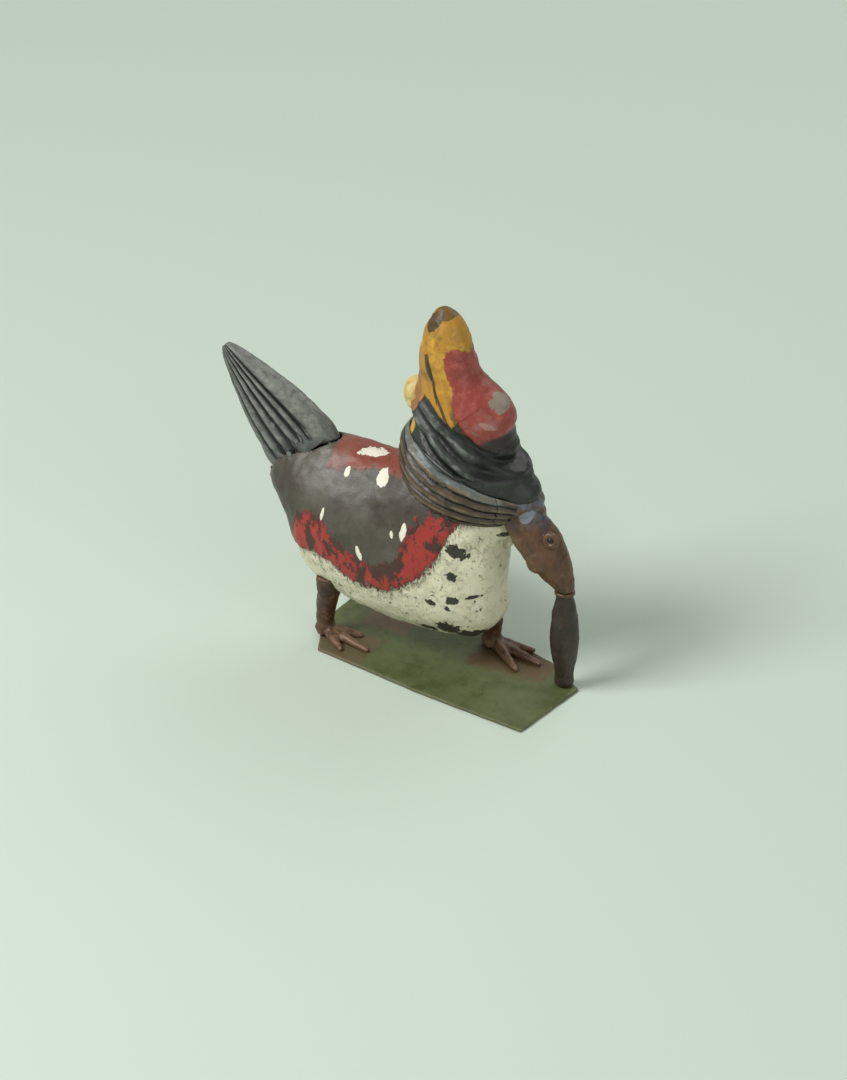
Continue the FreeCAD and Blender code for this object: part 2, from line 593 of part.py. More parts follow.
def lever_slot():
    """The slot that the neck lever needs in the neck bulb."""
    heading = math.degrees(math.atan2(THIRD[1] - NECK_Z, THIRD[0] - NECK_X))
    pivot = (NECK_X, NECK_Z)
    return bar(pivot, along(pivot, 26, heading), 3.2, NECK_LEVER_Y - 0.1, NECK_LEVER_Y + LEVER_THICK + 0.1)


def tail_cam():
    centre = along(THIRD, CAM_THROW, 200)
    return rod(*centre, CAM_R, TAIL_LEVER_Y, TAIL_LEVER_Y + LEVER_THICK).cut(rod(*THIRD, 0.9, 0, 10))


def tail_lever():
    """An arm over the frame from the tail pin to a fork round the cam."""
    y0, y1 = TAIL_LEVER_Y, TAIL_LEVER_Y + LEVER_THICK
    reach = CAM_R + CAM_THROW + 0.35
    drop = math.hypot(THIRD[0] - TAIL_X, THIRD[1] - TAIL_Z) * math.sin(math.radians(TAIL_TRAVEL))
    back_x = THIRD[0] - reach - 0.8
    top_z, low_z = THIRD[1] + reach + drop, THIRD[1] - reach
    knee = (back_x, top_z + 3.4)
    arm = bar((TAIL_X, TAIL_Z), knee, 2.6, y0, y1)
    web = bar(knee, (back_x, low_z - 0.7), 1.4, y0, y1)
    upper = bar((back_x, top_z + 0.7), (THIRD[0] + 2.5, top_z + 0.7), 1.4, y0, y1)
    lower = bar((back_x, low_z - 0.7), (THIRD[0] + 2.5, low_z - 0.7), 1.4, y0, y1)
    lever = arm.fuse([web, upper, lower]).removeSplitter()
    return lever.cut(rod(TAIL_X, TAIL_Z, 0.8 + FIT, 0, 10))


def stop_lever():
    """A brake lever beside the left plate: its tail hangs out of a slot in the belly."""
    y0, y1 = 8.3, 9.1
    upper = bar((STOP_X, STOP_Z), (FLY[0] + 2.4, FLY[1] - 0.5), 1.8, y0, y1)
    lower = bar((STOP_X, STOP_Z), (STOP_X + 0.6, 10.2), 2.2, y0, y1)
    boss = rod(STOP_X, STOP_Z, 2.0, y0, y1)
    return upper.fuse([lower, boss]).removeSplitter().cut(rod(STOP_X, STOP_Z, 0.7 + FIT, 0, 20))


def main():
    os.makedirs("parts", exist_ok=True)
    right, left, hollow = body_shells()
    save("base_plate", base_plate())
    save("right_leg", leg(LEG_FEET[0], LEG_TOPS[0]))
    save("left_leg", leg(LEG_FEET[1], LEG_TOPS[1]))
    save("leg_rivets", group([Part.makeCylinder(1.0, 3.0 - 0.05, Vector(x, y, 0.05)) for x, y in LEG_FEET]))
    save("body_right_shell", right)
    save("body_left_shell", left)
    for name, shape in collar().items():
        save(name, shape)
    save("neck_pin", rod(NECK_X, NECK_Z, 1.0, -15.6, 15.6))
    save("tail_pin", rod(TAIL_X, TAIL_Z, 0.8, -7.2, 7.2))
    for name, shape in frame().items():
        save(name, shape)
    save("pillar_screws", pillar_screws())
    save("frame_stays", frame_stays(hollow))
    save("mainspring", mainspring())
    save("key_bush", one(rod(*FIRST, 2.6, 14.4, 16.9).cut(rod(*FIRST, 1.5 + FIT, 10, 20))))
    stop_head = rod(STOP_X, STOP_Z, 1.2, 9.15, 9.6)
    save("stop_rivet", rod(STOP_X, STOP_Z, 0.7, PLATE_Y, 9.4).fuse(stop_head).removeSplitter())
    save("winding_key", winding_key())
    save("ratchet_wheel", ratchet_wheel())
    click_head = rod(*CLICK_PIVOT, 1.0, -3.55, -3.2)
    save("click_rivet", rod(*CLICK_PIVOT, 0.6, -6.2, -3.5).fuse(click_head).removeSplitter())
    save("click", click())
    for name, shape in train().items():
        save(name, shape)
    for name, shape in arbors().items():
        save(name, shape)
    disc, pin = crank()
    save("crank_disc", disc)
    save("crank_pin", pin)
    save("tail_cam", tail_cam())
    save("fly_fan", fly_fan())
    save("stop_lever", stop_lever())
    lever = neck_lever()
    neck_right, neck_left = neck_shells(lever_slot())
    save("neck_right_shell", neck_right)
    save("neck_left_shell", neck_left)
    crest_right, crest_left, panels, knob = crest()
    save("crest_right_shell", crest_right)
    save("crest_left_shell", crest_left)
    save("crest_red_panels", panels)
    save("nape_knob", knob)
    save("throat_bands", group(throat_bands()))
    head_right, head_left, eyes = head()
    save("head_right_shell", head_right)
    save("head_left_shell", head_left)
    save("eyes", eyes)
    bill_solid, ring = bill()
    save("bill", bill_solid)
    save("bill_ring", ring)
    save("neck_lever", lever)
    tail_right, tail_left = tail()
    save("tail_right_shell", tail_right)
    save("tail_left_shell", tail_left)
    save("tail_lever", tail_lever())


main()
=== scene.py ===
import math

import bmesh
import bpy
import numpy as np
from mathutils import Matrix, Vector, noise


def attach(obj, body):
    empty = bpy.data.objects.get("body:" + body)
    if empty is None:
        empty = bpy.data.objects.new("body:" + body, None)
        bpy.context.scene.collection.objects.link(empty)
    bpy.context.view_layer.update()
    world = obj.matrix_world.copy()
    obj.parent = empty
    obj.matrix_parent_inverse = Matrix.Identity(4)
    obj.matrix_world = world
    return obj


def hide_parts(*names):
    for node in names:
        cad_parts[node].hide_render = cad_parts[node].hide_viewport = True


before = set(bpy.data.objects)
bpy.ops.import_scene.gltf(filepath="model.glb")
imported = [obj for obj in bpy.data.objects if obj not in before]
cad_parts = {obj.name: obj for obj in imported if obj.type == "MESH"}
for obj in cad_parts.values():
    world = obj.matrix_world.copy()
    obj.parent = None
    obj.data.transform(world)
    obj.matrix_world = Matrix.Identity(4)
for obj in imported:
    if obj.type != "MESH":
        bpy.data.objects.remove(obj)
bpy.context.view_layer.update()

# A painted clockwork bird on a thin green plate. Sizes below are millimetres.
MM = 0.001

# body egg: x, height of the centre, half height, half width
BODY = [
    (-57.0, 44.0, 4.0, 3.0), (-54.0, 44.0, 11.0, 7.0), (-48.0, 42.5, 19.0, 11.5),
    (-40.0, 40.5, 24.5, 14.5), (-30.0, 38.5, 26.5, 16.0), (-18.0, 37.0, 27.5, 16.5),
    (-6.0, 36.5, 27.5, 16.0), (5.0, 36.5, 26.5, 14.5), (13.0, 37.5, 22.0, 11.5),
    (18.0, 39.0, 15.0, 8.0), (20.5, 40.0, 5.0, 3.0),
]
NECK = Vector((4.5, 0.0, 66.0))
NECK_R, NECK_W = 19.2, 14.5
RIM_BACK, RIM_FRONT = (-17.5, 60.0), (24.0, 50.0)
HEM_BACK, HEM_FRONT = (-13.0, 75.0), (29.0, 57.0)
TAIL = Vector((-48.6, 0.0, 56.4))
TAIL_ANGLE = math.radians(134.0)
TAIL_R, TAIL_W = 13.5, 6.4
BILL_X = 35.3

# the paint's edges on the flank, as heights along x
CREAM_EDGE = [(-57, 30), (-42, 31), (-36, 32), (-31, 30.5), (-26, 27), (-21, 26), (-15, 25.5), (-9, 28),
              (-2, 34), (2.5, 40), (5.5, 48), (9, 53), (21, 56)]
RED_EDGE = [(-57, 24), (-46, 29), (-42.5, 43), (-35, 45.5), (-30, 41), (-25.5, 38), (-21, 34.5),
            (-15, 36), (-10, 37.5), (-7.5, 44), (-5, 50), (3, 54), (6, 54), (21, 54)]
# white flecks of lost paint: x, height, half length, half width, turn in degrees
FLECKS = [
    (-17.9, 57.8, 2.0, 2.1, 0), (-29.0, 56.9, 0.8, 1.1, 0), (-33.3, 45.6, 1.9, 0.5, 80),
    (-21.0, 37.0, 2.2, 0.8, 110), (-11.0, 45.5, 1.3, 0.5, 100), (-7.6, 47.0, 2.6, 1.0, 85),
]
# dark chips in the cream paint: x, height, half length, half width, turn
CHIPS = [
    (7.6, 43.2, 3.0, 1.8, -40), (18.6, 46.0, 1.0, 2.0, 60), (6.5, 35.2, 1.5, 1.6, 20),
    (0.2, 25.3, 0.9, 1.4, 80), (6.5, 27.3, 1.6, 1.2, 10), (5.0, 24.0, 0.9, 0.8, 0), (11.5, 28.0, 1.6, 0.6, 0),
    (3.5, 15.2, 3.8, 2.4, 10), (8.5, 13.2, 4.0, 2.0, 20), (-3.5, 13.0, 2.4, 1.0, 0),
]


# ---- maths ---------------------------------------------------------------------------
def smooth(low, high, value):
    t = min(1.0, max(0.0, (value - low) / (high - low)))
    return t * t * (3 - 2 * t)


def station(table, x):
    """A smooth curve through the rows of a table, at x."""
    xs = [row[0] for row in table]
    x = min(max(x, xs[0]), xs[-1])
    k = max(i for i in range(len(xs) - 1) if xs[i] <= x)
    t = (x - xs[k]) / (xs[k + 1] - xs[k])
    out = []
    for column in range(1, len(table[0])):
        p = [table[min(max(i, 0), len(xs) - 1)] for i in (k - 1, k, k + 1, k + 2)]
        span = xs[k + 1] - xs[k]
        slope0 = (p[2][column] - p[0][column]) / max(1e-6, p[2][0] - p[0][0]) * span
        slope1 = (p[3][column] - p[1][column]) / max(1e-6, p[3][0] - p[1][0]) * span
        a, b = p[1][column], p[2][column]
        out.append(
            (2 * t**3 - 3 * t**2 + 1) * a + (t**3 - 2 * t**2 + t) * slope0
            + (3 * t**2 - 2 * t**3) * b + (t**3 - t**2) * slope1)
    return out


def edge_height(edge, x):
    return float(np.interp(x, [p[0] for p in edge], [p[1] for p in edge]))


def rough(point, size, seed=0.0):
    """Soft noise from -1 to 1, with features of about this size."""
    return noise.noise(Vector(point) / size + Vector((seed, seed * 1.7, -seed)))


def plane_height(back, front, x):
    return back[1] + (front[1] - back[1]) * (x - back[0]) / (front[0] - back[0])


def mesh_piece(name, points, faces, body, stands_for, material, thickness=0.0, relief=None):
    """An object from points in millimetres that rides on a body and stands for CAD nodes."""
    mesh = bpy.data.meshes.new(name)
    mesh.from_pydata([tuple(c * MM for c in p) for p in points], [], faces)
    if relief:
        mesh.attributes.new("relief", "FLOAT", "POINT").data.foreach_set("value", relief)
    piece = bpy.data.objects.new(name, mesh)
    bpy.context.collection.objects.link(piece)
    tidy = bmesh.new()
    tidy.from_mesh(mesh)
    bmesh.ops.remove_doubles(tidy, verts=tidy.verts, dist=1e-7)
    bmesh.ops.recalc_face_normals(tidy, faces=tidy.faces)
    tidy.to_mesh(mesh)
    tidy.free()
    mesh.polygons.foreach_set("use_smooth", [True] * len(mesh.polygons))
    if thickness:
        shell = piece.modifiers.new("shell", "SOLIDIFY")
        shell.thickness = thickness * MM
        shell.offset = -1
    mesh.materials.append(material)
    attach(piece, body)
    if stands_for:
        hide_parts(*stands_for)
    return piece


def grid(point, rows, columns, closed=False, keep=None):
    """Points and faces of a grid over two parameters from 0 to 1."""
    points, faces = [], []
    across = columns if closed else columns + 1
    for i in range(rows + 1):
        for j in range(across):
            points.append(point(i / rows, j / columns))
    for i in range(rows):
        for j in range(columns):
            a, b = i * across + j, i * across + (j + 1) % across
            c, d = (i + 1) * across + (j + 1) % across, (i + 1) * across + j
            if keep is None or keep((points[a] + points[c]) / 2):
                faces.append((a, b, c, d))
    return points, faces


def capped(points, faces, rows, columns):
    """Closes both ends of a closed grid."""
    last = rows * columns
    return points, faces + [tuple(range(columns))[::-1], tuple(range(last, last + columns))]


def merged(*meshes):
    """Several meshes as one list of points and faces."""
    points, faces = [], []
    for more_points, more_faces in meshes:
        shift = len(points)
        points += more_points
        faces += [tuple(i + shift for i in face) for face in more_faces]
    return points, faces


def sculpted(name, parts, voxel, relax, shape, body, stands_for, material):
    """Overlapping closed meshes melted into one skin, smoothed, and pushed in and out by shape(point)."""
    points, faces = merged(*parts)
    mesh = bpy.data.meshes.new(name)
    mesh.from_pydata([tuple(c * MM for c in p) for p in points], [], faces)
    lump = bpy.data.objects.new(name + "_lump", mesh)
    bpy.context.collection.objects.link(lump)
    melt = lump.modifiers.new("melt", "REMESH")
    melt.mode = "VOXEL"
    melt.voxel_size = voxel * MM
    soften = lump.modifiers.new("soften", "SMOOTH")
    soften.factor = 0.5
    soften.iterations = relax
    done = bpy.data.meshes.new_from_object(lump.evaluated_get(bpy.context.evaluated_depsgraph_get()))
    bpy.data.objects.remove(lump)
    skin_points = [v.co / MM for v in done.vertices]
    normals = [v.normal.copy() for v in done.vertices]
    relief = [shape(p) for p in skin_points]
    skin_points = [p + n * push for p, n, push in zip(skin_points, normals, relief)]
    skin_faces = [tuple(p.vertices) for p in done.polygons]
    bpy.data.meshes.remove(done)
    return mesh_piece(name, skin_points, skin_faces, body, stands_for, material, relief=relief)


def ball(centre, radii, rows=24, columns=32):
    def point(u, v):
        a, b = math.pi * (0.02 + 0.96 * u), 2 * math.pi * v
        way = (math.sin(a) * math.cos(b), math.sin(a) * math.sin(b), math.cos(a))
        return Vector([middle + reach * part for middle, reach, part in zip(centre, radii, way)])
    points, faces = grid(point, rows, columns, closed=True)
    return capped(points, faces, rows, columns)


def tube(centres, radii):
    """A closed tube through points, with round sections of these radii."""
    rows, columns = (len(centres) - 1) * 6, 24
    table = [(k, *c, r) for k, (c, r) in enumerate(zip(centres, radii))]
    def at(u):
        return station(table, u * (len(centres) - 1))
    def point(u, v):
        x, y, z, r = at(u)
        ahead, behind = at(min(1, u + 0.02)), at(max(0, u - 0.02))
        along = (Vector(ahead[:3]) - Vector(behind[:3])).normalized()
        side = along.orthogonal() if abs(along.y) > 0.9 else along.cross(Vector((0, 1, 0)))
        side.normalize()
        up = along.cross(side)
        turn = 2 * math.pi * v
        return Vector((x, y, z)) + (side * math.cos(turn) + up * math.sin(turn)) * r
    points, faces = grid(point, rows, columns, closed=True)
    return capped(points, faces, rows, columns)


# ---- material nodes ------------------------------------------------------------------
def linear(code):
    """A linear colour from a hex sRGB code."""
    parts = [int(code[i:i + 2], 16) / 255 for i in (0, 2, 4)]
    return [c / 12.92 if c <= 0.04045 else ((c + 0.055) / 1.055) ** 2.4 for c in parts] + [1.0]


class Paint:
    """A material under construction: a stack of colours over object positions in millimetres."""

    def __init__(self, name, base):
        self.material = bpy.data.materials.new(name)
        self.material.use_nodes = True
        self.tree = self.material.node_tree
        self.shader = self.tree.nodes["Principled BSDF"]
        place = self.new("ShaderNodeTexCoord")
        scale = self.new("ShaderNodeVectorMath", operation="SCALE")
        scale.inputs["Scale"].default_value = 1 / MM
        self.link(place.outputs["Object"], scale.inputs[0])
        self.place = scale.outputs[0]
        self.colour = self.tint(base)
        self.height = None

    def new(self, kind, **settings):
        node = self.tree.nodes.new(kind)
        for key, value in settings.items():
            setattr(node, key, value)
        return node

    def link(self, source, target):
        self.tree.links.new(source, target)

    def feed(self, target, value):
        if hasattr(value, "links"):
            self.link(value, target)
        else:
            target.default_value = value

    def tint(self, code):
        node = self.new("ShaderNodeRGB")
        node.outputs[0].default_value = linear(code)
        return node.outputs[0]

    def math(self, operation, a, b=0.0, clamp=False):
        node = self.new("ShaderNodeMath", operation=operation, use_clamp=clamp)
        self.feed(node.inputs[0], a)
        self.feed(node.inputs[1], b)
        return node.outputs[0]

    def swing(self, value, amount):
        """A value from 0 to 1 turned into one that swings both ways, half this amount each way."""
        return self.math("MULTIPLY", self.math("SUBTRACT", value, 0.5), amount)

    def axes(self):
        node = self.new("ShaderNodeSeparateXYZ")
        self.link(self.place, node.inputs[0])
        return node.outputs

    def stretched(self, factors, turn=(0, 0, 0)):
        node = self.new("ShaderNodeMapping")
        node.inputs["Scale"].default_value = factors
        node.inputs["Rotation"].default_value = [math.radians(a) for a in turn]
        self.link(self.place, node.inputs[0])
        return node.outputs[0]

    def noise(self, size, detail=4.0, roughness=0.6, place=None, seed=0.0):
        """Noise from 0 to 1 with features of about this many millimetres."""
        node = self.new("ShaderNodeTexNoise", noise_dimensions="4D")
        node.inputs["Scale"].default_value = 1 / size
        node.inputs["Detail"].default_value = detail
        node.inputs["Roughness"].default_value = roughness
        node.inputs["W"].default_value = seed
        self.link(place or self.place, node.inputs["Vector"])
        return node.outputs["Fac"]

    def step(self, value, low, high):
        """0 under low and 1 over high."""
        node = self.new("ShaderNodeMapRange", interpolation_type="SMOOTHSTEP")
        self.feed(node.inputs["Value"], value)
        node.inputs["From Min"].default_value = low
        node.inputs["From Max"].default_value = high
        return node.outputs[0]

    def graph(self, x, edge):
        """The height of an edge, given as points, at x."""
        xs, zs = [p[0] for p in edge], [p[1] for p in edge]
        span = self.new("ShaderNodeMapRange")
        self.feed(span.inputs["Value"], x)
        span.inputs["From Min"].default_value, span.inputs["From Max"].default_value = xs[0], xs[-1]
        curve = self.new("ShaderNodeFloatCurve")
        points = curve.mapping.curves[0].points
        while len(points) < len(edge):
            points.new(0.5, 0.5)
        for target, (px, pz) in zip(points, edge):
            target.location = ((px - xs[0]) / (xs[-1] - xs[0]), (pz - min(zs)) / (max(zs) - min(zs)))
            target.handle_type = "VECTOR"
        curve.mapping.update()
        self.link(span.outputs[0], curve.inputs["Value"])
        return self.math("ADD", self.math("MULTIPLY", curve.outputs[0], max(zs) - min(zs)), min(zs))

    def spot(self, x, z, long, wide, turn, fray=0.9, seed=0.0, on_top=False):
        """1 inside a frayed oval and 0 outside it: on the flank in x and z, or on top in x and y."""
        px, py, pz = self.axes()
        dx, dz = self.math("SUBTRACT", px, x), self.math("SUBTRACT", py if on_top else pz, z)
        c, s = math.cos(math.radians(turn)), math.sin(math.radians(turn))
        a = self.math("ADD", self.math("MULTIPLY", dx, c / long), self.math("MULTIPLY", dz, s / long))
        b = self.math("ADD", self.math("MULTIPLY", dx, -s / wide), self.math("MULTIPLY", dz, c / wide))
        away = self.math("SQRT", self.math("ADD", self.math("MULTIPLY", a, a), self.math("MULTIPLY", b, b)))
        frayed = self.math("ADD", away, self.swing(self.noise(1.6, seed=seed), fray))
        return self.step(frayed, 1.06, 0.94)

    def relief(self):
        """How far the surface was pushed out, in millimetres, as mesh_piece stored it."""
        return self.new("ShaderNodeAttribute", attribute_name="relief").outputs["Fac"]

    def cover(self, mask, code, strength=1.0, thickness=0.0):
        """Lays a colour, or another colour socket, over what is there."""
        node = self.new("ShaderNodeMix", data_type="RGBA")
        self.feed(node.inputs[0], self.math("MULTIPLY", mask, strength, clamp=True))
        self.link(self.colour, node.inputs[6])
        self.link(self.tint(code) if isinstance(code, str) else code, node.inputs[7])
        self.colour = node.outputs[2]
        if thickness:
            self.raise_by(mask, thickness)

    def mottle(self, code, strength, span, *kind, within=None, **more):
        """Lays a colour in the patches of a noise, in all of the paint or only within a mask."""
        patches = self.step(self.noise(*kind, **more), *span)
        self.cover(patches if within is None else self.both(within, patches), code, strength)

    def raise_by(self, mask, amount):
        more = self.math("MULTIPLY", mask, amount)
        self.height = more if self.height is None else self.math("ADD", self.height, more)

    def both(self, a, b):
        return self.math("MULTIPLY", a, b)

    def worn(self, dark="2a211a", bright="8c8880", grime_and_shade=0.5, chips=0.5, edges=0.5):
        """Grime mottles and small chips to dark metal, painted shade in the hollows, and paler sharp edges
        that are partly bare-edge wear and partly painted highlight.
        """
        self.mottle(dark, grime_and_shade * 0.8, (0.52, 0.78), 7, 5, 0.65, seed=3)
        self.mottle(dark, grime_and_shade * 0.5, (0.6, 0.8), 0.9, 6, 0.7, seed=7)
        self.mottle(dark, chips, (0.67, 0.70), 2.2, 5, 0.75, seed=5)
        # Sharp edges get a paler colour: partly bare-edge wear, partly painted highlight.
        point = self.new("ShaderNodeNewGeometry")
        ridge = self.step(point.outputs["Pointiness"], 0.53, 0.60)
        self.mottle(bright, edges, (0.4, 0.65), 1.5, 4, seed=9, within=ridge)
        # Painted shade: the hollows are darkened.
        hollow = self.step(point.outputs["Pointiness"], 0.485, 0.42)
        self.cover(hollow, dark, grime_and_shade)
        self.raise_by(self.noise(1.4, 6, 0.7, seed=11), 0.16)
        self.raise_by(self.noise(0.35, 3, 0.6, seed=13), 0.05)

    def finished(self, gloss=0.45, spread=0.25, metal=0.0, bump=0.6):
        self.link(self.colour, self.shader.inputs["Base Color"])
        patchy = self.math("MULTIPLY", self.noise(3, 5, seed=17), spread)
        self.link(self.math("ADD", patchy, gloss - spread / 2, clamp=True), self.shader.inputs["Roughness"])
        self.shader.inputs["Metallic"].default_value = metal
        if self.height is not None:
            node = self.new("ShaderNodeBump")
            node.inputs["Strength"].default_value = bump
            node.inputs["Distance"].default_value = 1.2 * MM
            self.link(self.height, node.inputs["Height"])
            self.link(node.outputs[0], self.shader.inputs["Normal"])
        return self.material


# ---- camera and light ----------------------------------------------------------------
def camera_and_light():
    look_at = Vector((-6.9, -4.9, 38.9)) * MM
    azimuth, elevation = math.radians(28.4), math.radians(31.4)
    distance, lens, sensor = 3.0, 357.1, 36
    level = math.cos(elevation)
    back = Vector((math.sin(azimuth) * level, -math.cos(azimuth) * level, math.sin(elevation)))
    data = bpy.data.cameras.new("camera")
    data.lens = lens
    data.sensor_width = sensor
    data.clip_start, data.clip_end = 0.01, 20
    camera = bpy.data.objects.new("camera", data)
    bpy.context.collection.objects.link(camera)
    camera.location = look_at + back * distance
    camera.rotation_euler = back.to_track_quat("Z", "Y").to_euler()
    bpy.context.scene.camera = camera
    for name, place, size, power in (
            ("key_light", (-0.42, -0.50, 0.75), 0.42, 7.0), ("fill_light", (0.65, -0.35, 0.35), 0.6, 1.3),
            ("back_light", (0.1, 0.7, 0.6), 0.6, 1.8)):
        lamp = bpy.data.lights.new(name, "AREA")
        lamp.energy, lamp.size = power, size
        light = bpy.data.objects.new(name, lamp)
        light.location = place
        light.rotation_euler = (Vector(place) - look_at).to_track_quat("Z", "Y").to_euler()
        bpy.context.collection.objects.link(light)
    world = bpy.data.worlds.new("studio")
    world.use_nodes = True
    world.node_tree.nodes["Background"].inputs[0].default_value = (0.9, 0.95, 0.9, 1)
    world.node_tree.nodes["Background"].inputs[1].default_value = 0.36
    bpy.context.scene.world = world
    bpy.context.scene.view_settings.view_transform = "Standard"


def floor():
    mesh = bpy.data.meshes.new("floor")
    reach = 3.0
    corners = [(-reach, -reach, 0), (reach, -reach, 0), (reach, reach, 0), (-reach, reach, 0)]
    mesh.from_pydata(corners, [], [(0, 1, 2, 3)])
    plane = bpy.data.objects.new("floor", mesh)
    bpy.context.collection.objects.link(plane)
    paper = bpy.data.materials.new("paper")
    paper.use_nodes = True
    paper.node_tree.nodes["Principled BSDF"].inputs["Base Color"].default_value = linear("c9d6c8")
    paper.node_tree.nodes["Principled BSDF"].inputs["Roughness"].default_value = 0.9
    mesh.materials.append(paper)


camera_and_light()
floor()


# ---- materials -----------------------------------------------------------------------
def body_paint():
    paint = Paint("body_paint", "4b4339")
    x, y, z = paint.axes()
    paint.mottle("6a665c", 0.55, (0.45, 0.7), 9, 4, seed=21)
    paint.mottle("332a22", 0.7, (0.5, 0.75), 4, 5, seed=22)
    strokes = paint.noise(1.25, 4, 0.65, paint.stretched((1.0, 1.0, 0.26), (0, 14, 0)), seed=23)
    fray = paint.swing(strokes, 15.0)
    rump = paint.both(paint.step(x, -38, -46), paint.step(z, 56, 44))
    paint.cover(rump, "35231a", 0.75)
    under = paint.math("ADD", paint.math("SUBTRACT", paint.graph(x, RED_EDGE), z), fray)
    red_wash = paint.both(paint.step(under, -0.6, 0.8), paint.step(x, 9, 6.5))
    paint.cover(red_wash, "48241b", 0.9)
    leaning = paint.stretched((1, 1, 0.55), (0, 20, 0))
    bright = paint.step(paint.noise(3.6, 5, 0.62, leaning, seed=24), 0.46, 0.53)
    paint.cover(paint.both(red_wash, bright), "a5302a", 0.95, 0.25)
    glow = paint.step(paint.noise(2.0, 5, 0.7, seed=25), 0.55, 0.72)
    paint.cover(paint.both(paint.both(red_wash, bright), glow), "bd4636", 0.7)
    patch_line = paint.math("ADD", paint.math("MULTIPLY", x, 0.16), 62.0)
    patch_edge = paint.swing(paint.noise(3.2, 5, 0.65, seed=26), 6.0)
    above_line = paint.math("ADD", paint.math("SUBTRACT", z, patch_line), patch_edge)
    patch_ends = paint.both(paint.step(x, -36.5, -34.5), paint.step(x, -9, -12))
    back_patch = paint.both(paint.step(above_line, -0.5, 0.8), patch_ends)
    paint.cover(back_patch, "8c4535", 0.92, 0.15)
    paint.mottle("6e2f24", 0.7, (0.52, 0.66), 2.5, 5, seed=27, within=back_patch)
    # Painted grey sheen on the back beside the tail.
    sheen_by_tail = paint.both(paint.both(paint.step(x, -48, -41), paint.step(x, -27, -36)), paint.step(z, 45, 54))
    paint.mottle("76766b", 0.6, (0.35, 0.62), 5, 4, seed=4, within=sheen_by_tail)
    below_edge = paint.math("SUBTRACT", paint.graph(x, CREAM_EDGE), z)
    sag = paint.math("ADD", below_edge, paint.math("MULTIPLY", fray, 0.8))
    cream = paint.step(sag, -0.25, 0.3)
    paint.cover(paint.step(sag, -1.6, -0.2), "2b1d16", 0.55)
    paint.cover(cream, "e6dfc3", 1.0, 0.5)
    paint.mottle("cfc6a4", 0.7, (0.48, 0.7), 6, 4, seed=28, within=cream)
    paint.mottle("f0ebd4", 0.6, (0.56, 0.68), 3, 5, seed=29, within=cream)
    thin = paint.step(paint.noise(2.6, 6, 0.78, seed=32), 0.54, 0.64)
    paint.cover(paint.both(cream, thin), "9f9c80", 0.6, -0.15)
    drag = paint.noise(1.1, 5, 0.75, paint.stretched((1, 1, 0.4), (0, 10, 0)), seed=33)
    paint.cover(paint.both(cream, paint.step(drag, 0.60, 0.68)), "77725c", 0.6, -0.1)
    breast = paint.both(cream, paint.both(paint.step(x, 12, 19), paint.step(z, 46, 38)))
    paint.cover(breast, "b9ae96", 0.65)
    specks = paint.step(paint.noise(1.5, 6, 0.8, seed=30), 0.575, 0.60)
    crowded = paint.step(paint.noise(8, 3, seed=34), 0.44, 0.58)
    paint.cover(paint.both(cream, paint.both(specks, crowded)), "2e2a26", 0.9, -0.35)
    comb = paint.both(paint.step(sag, 6.0, 0.6), paint.step(strokes, 0.53, 0.57))
    paint.cover(paint.both(cream, comb), "3a2019", 0.85, -0.3)
    for index, (fx, fz, long, wide, turn) in enumerate(CHIPS):
        chip = paint.spot(fx, fz, long, wide, turn, 2.4, seed=index)
        paint.cover(paint.both(cream, chip), "26221f", 0.97, -0.4)
    for index, (fx, fz, long, wide, turn) in enumerate(FLECKS):
        fleck = paint.both(paint.spot(fx, fz, long, wide, turn, 1.1, seed=40 + index), paint.step(y, -4, -5))
        paint.cover(fleck, "efe9d6", 0.97, 0.3)
    back_fleck = paint.spot(-24.6, -1.4, 3.7, 2.3, 28, 2.2, seed=39, on_top=True)
    paint.cover(paint.both(back_fleck, paint.step(z, 55, 57)), "efe9d6", 0.97, 0.3)
    belly = paint.both(paint.step(z, 16, 11), paint.step(paint.noise(4, 5, seed=31), 0.35, 0.6))
    paint.cover(belly, "3c3328", 0.6)
    paint.worn(dark="231a14", bright="8f897c", grime_and_shade=0.35, chips=0.35, edges=0.35)
    return paint.finished(gloss=0.42, spread=0.3)


def tail_paint():
    paint = Paint("tail_paint", "5b605a")
    streak = paint.noise(1.6, 5, 0.7, paint.stretched((0.25, 1, 1), (0, 46, 0)), seed=51)
    paint.cover(paint.step(streak, 0.45, 0.68), "8a8c82", 0.7)
    paint.mottle("3c3f38", 0.75, (0.5, 0.72), 6, 4, seed=52)
    relief = paint.relief()
    # Painted shade in the grooves between the ridges.
    paint.cover(paint.step(relief, 0.12, -0.5), "161a18", 0.97)
    # Painted highlight on the ridge tops, broken into patches.
    highlight_patches = paint.step(paint.noise(2, 4, seed=53), 0.35, 0.6)
    paint.cover(paint.both(paint.step(relief, 0.05, 0.4), highlight_patches), "8f938a", 0.55)
    paint.worn(dark="20211d", bright="a3a49a", grime_and_shade=0.5, chips=0.3, edges=0.5)
    return paint.finished(gloss=0.4, spread=0.25)


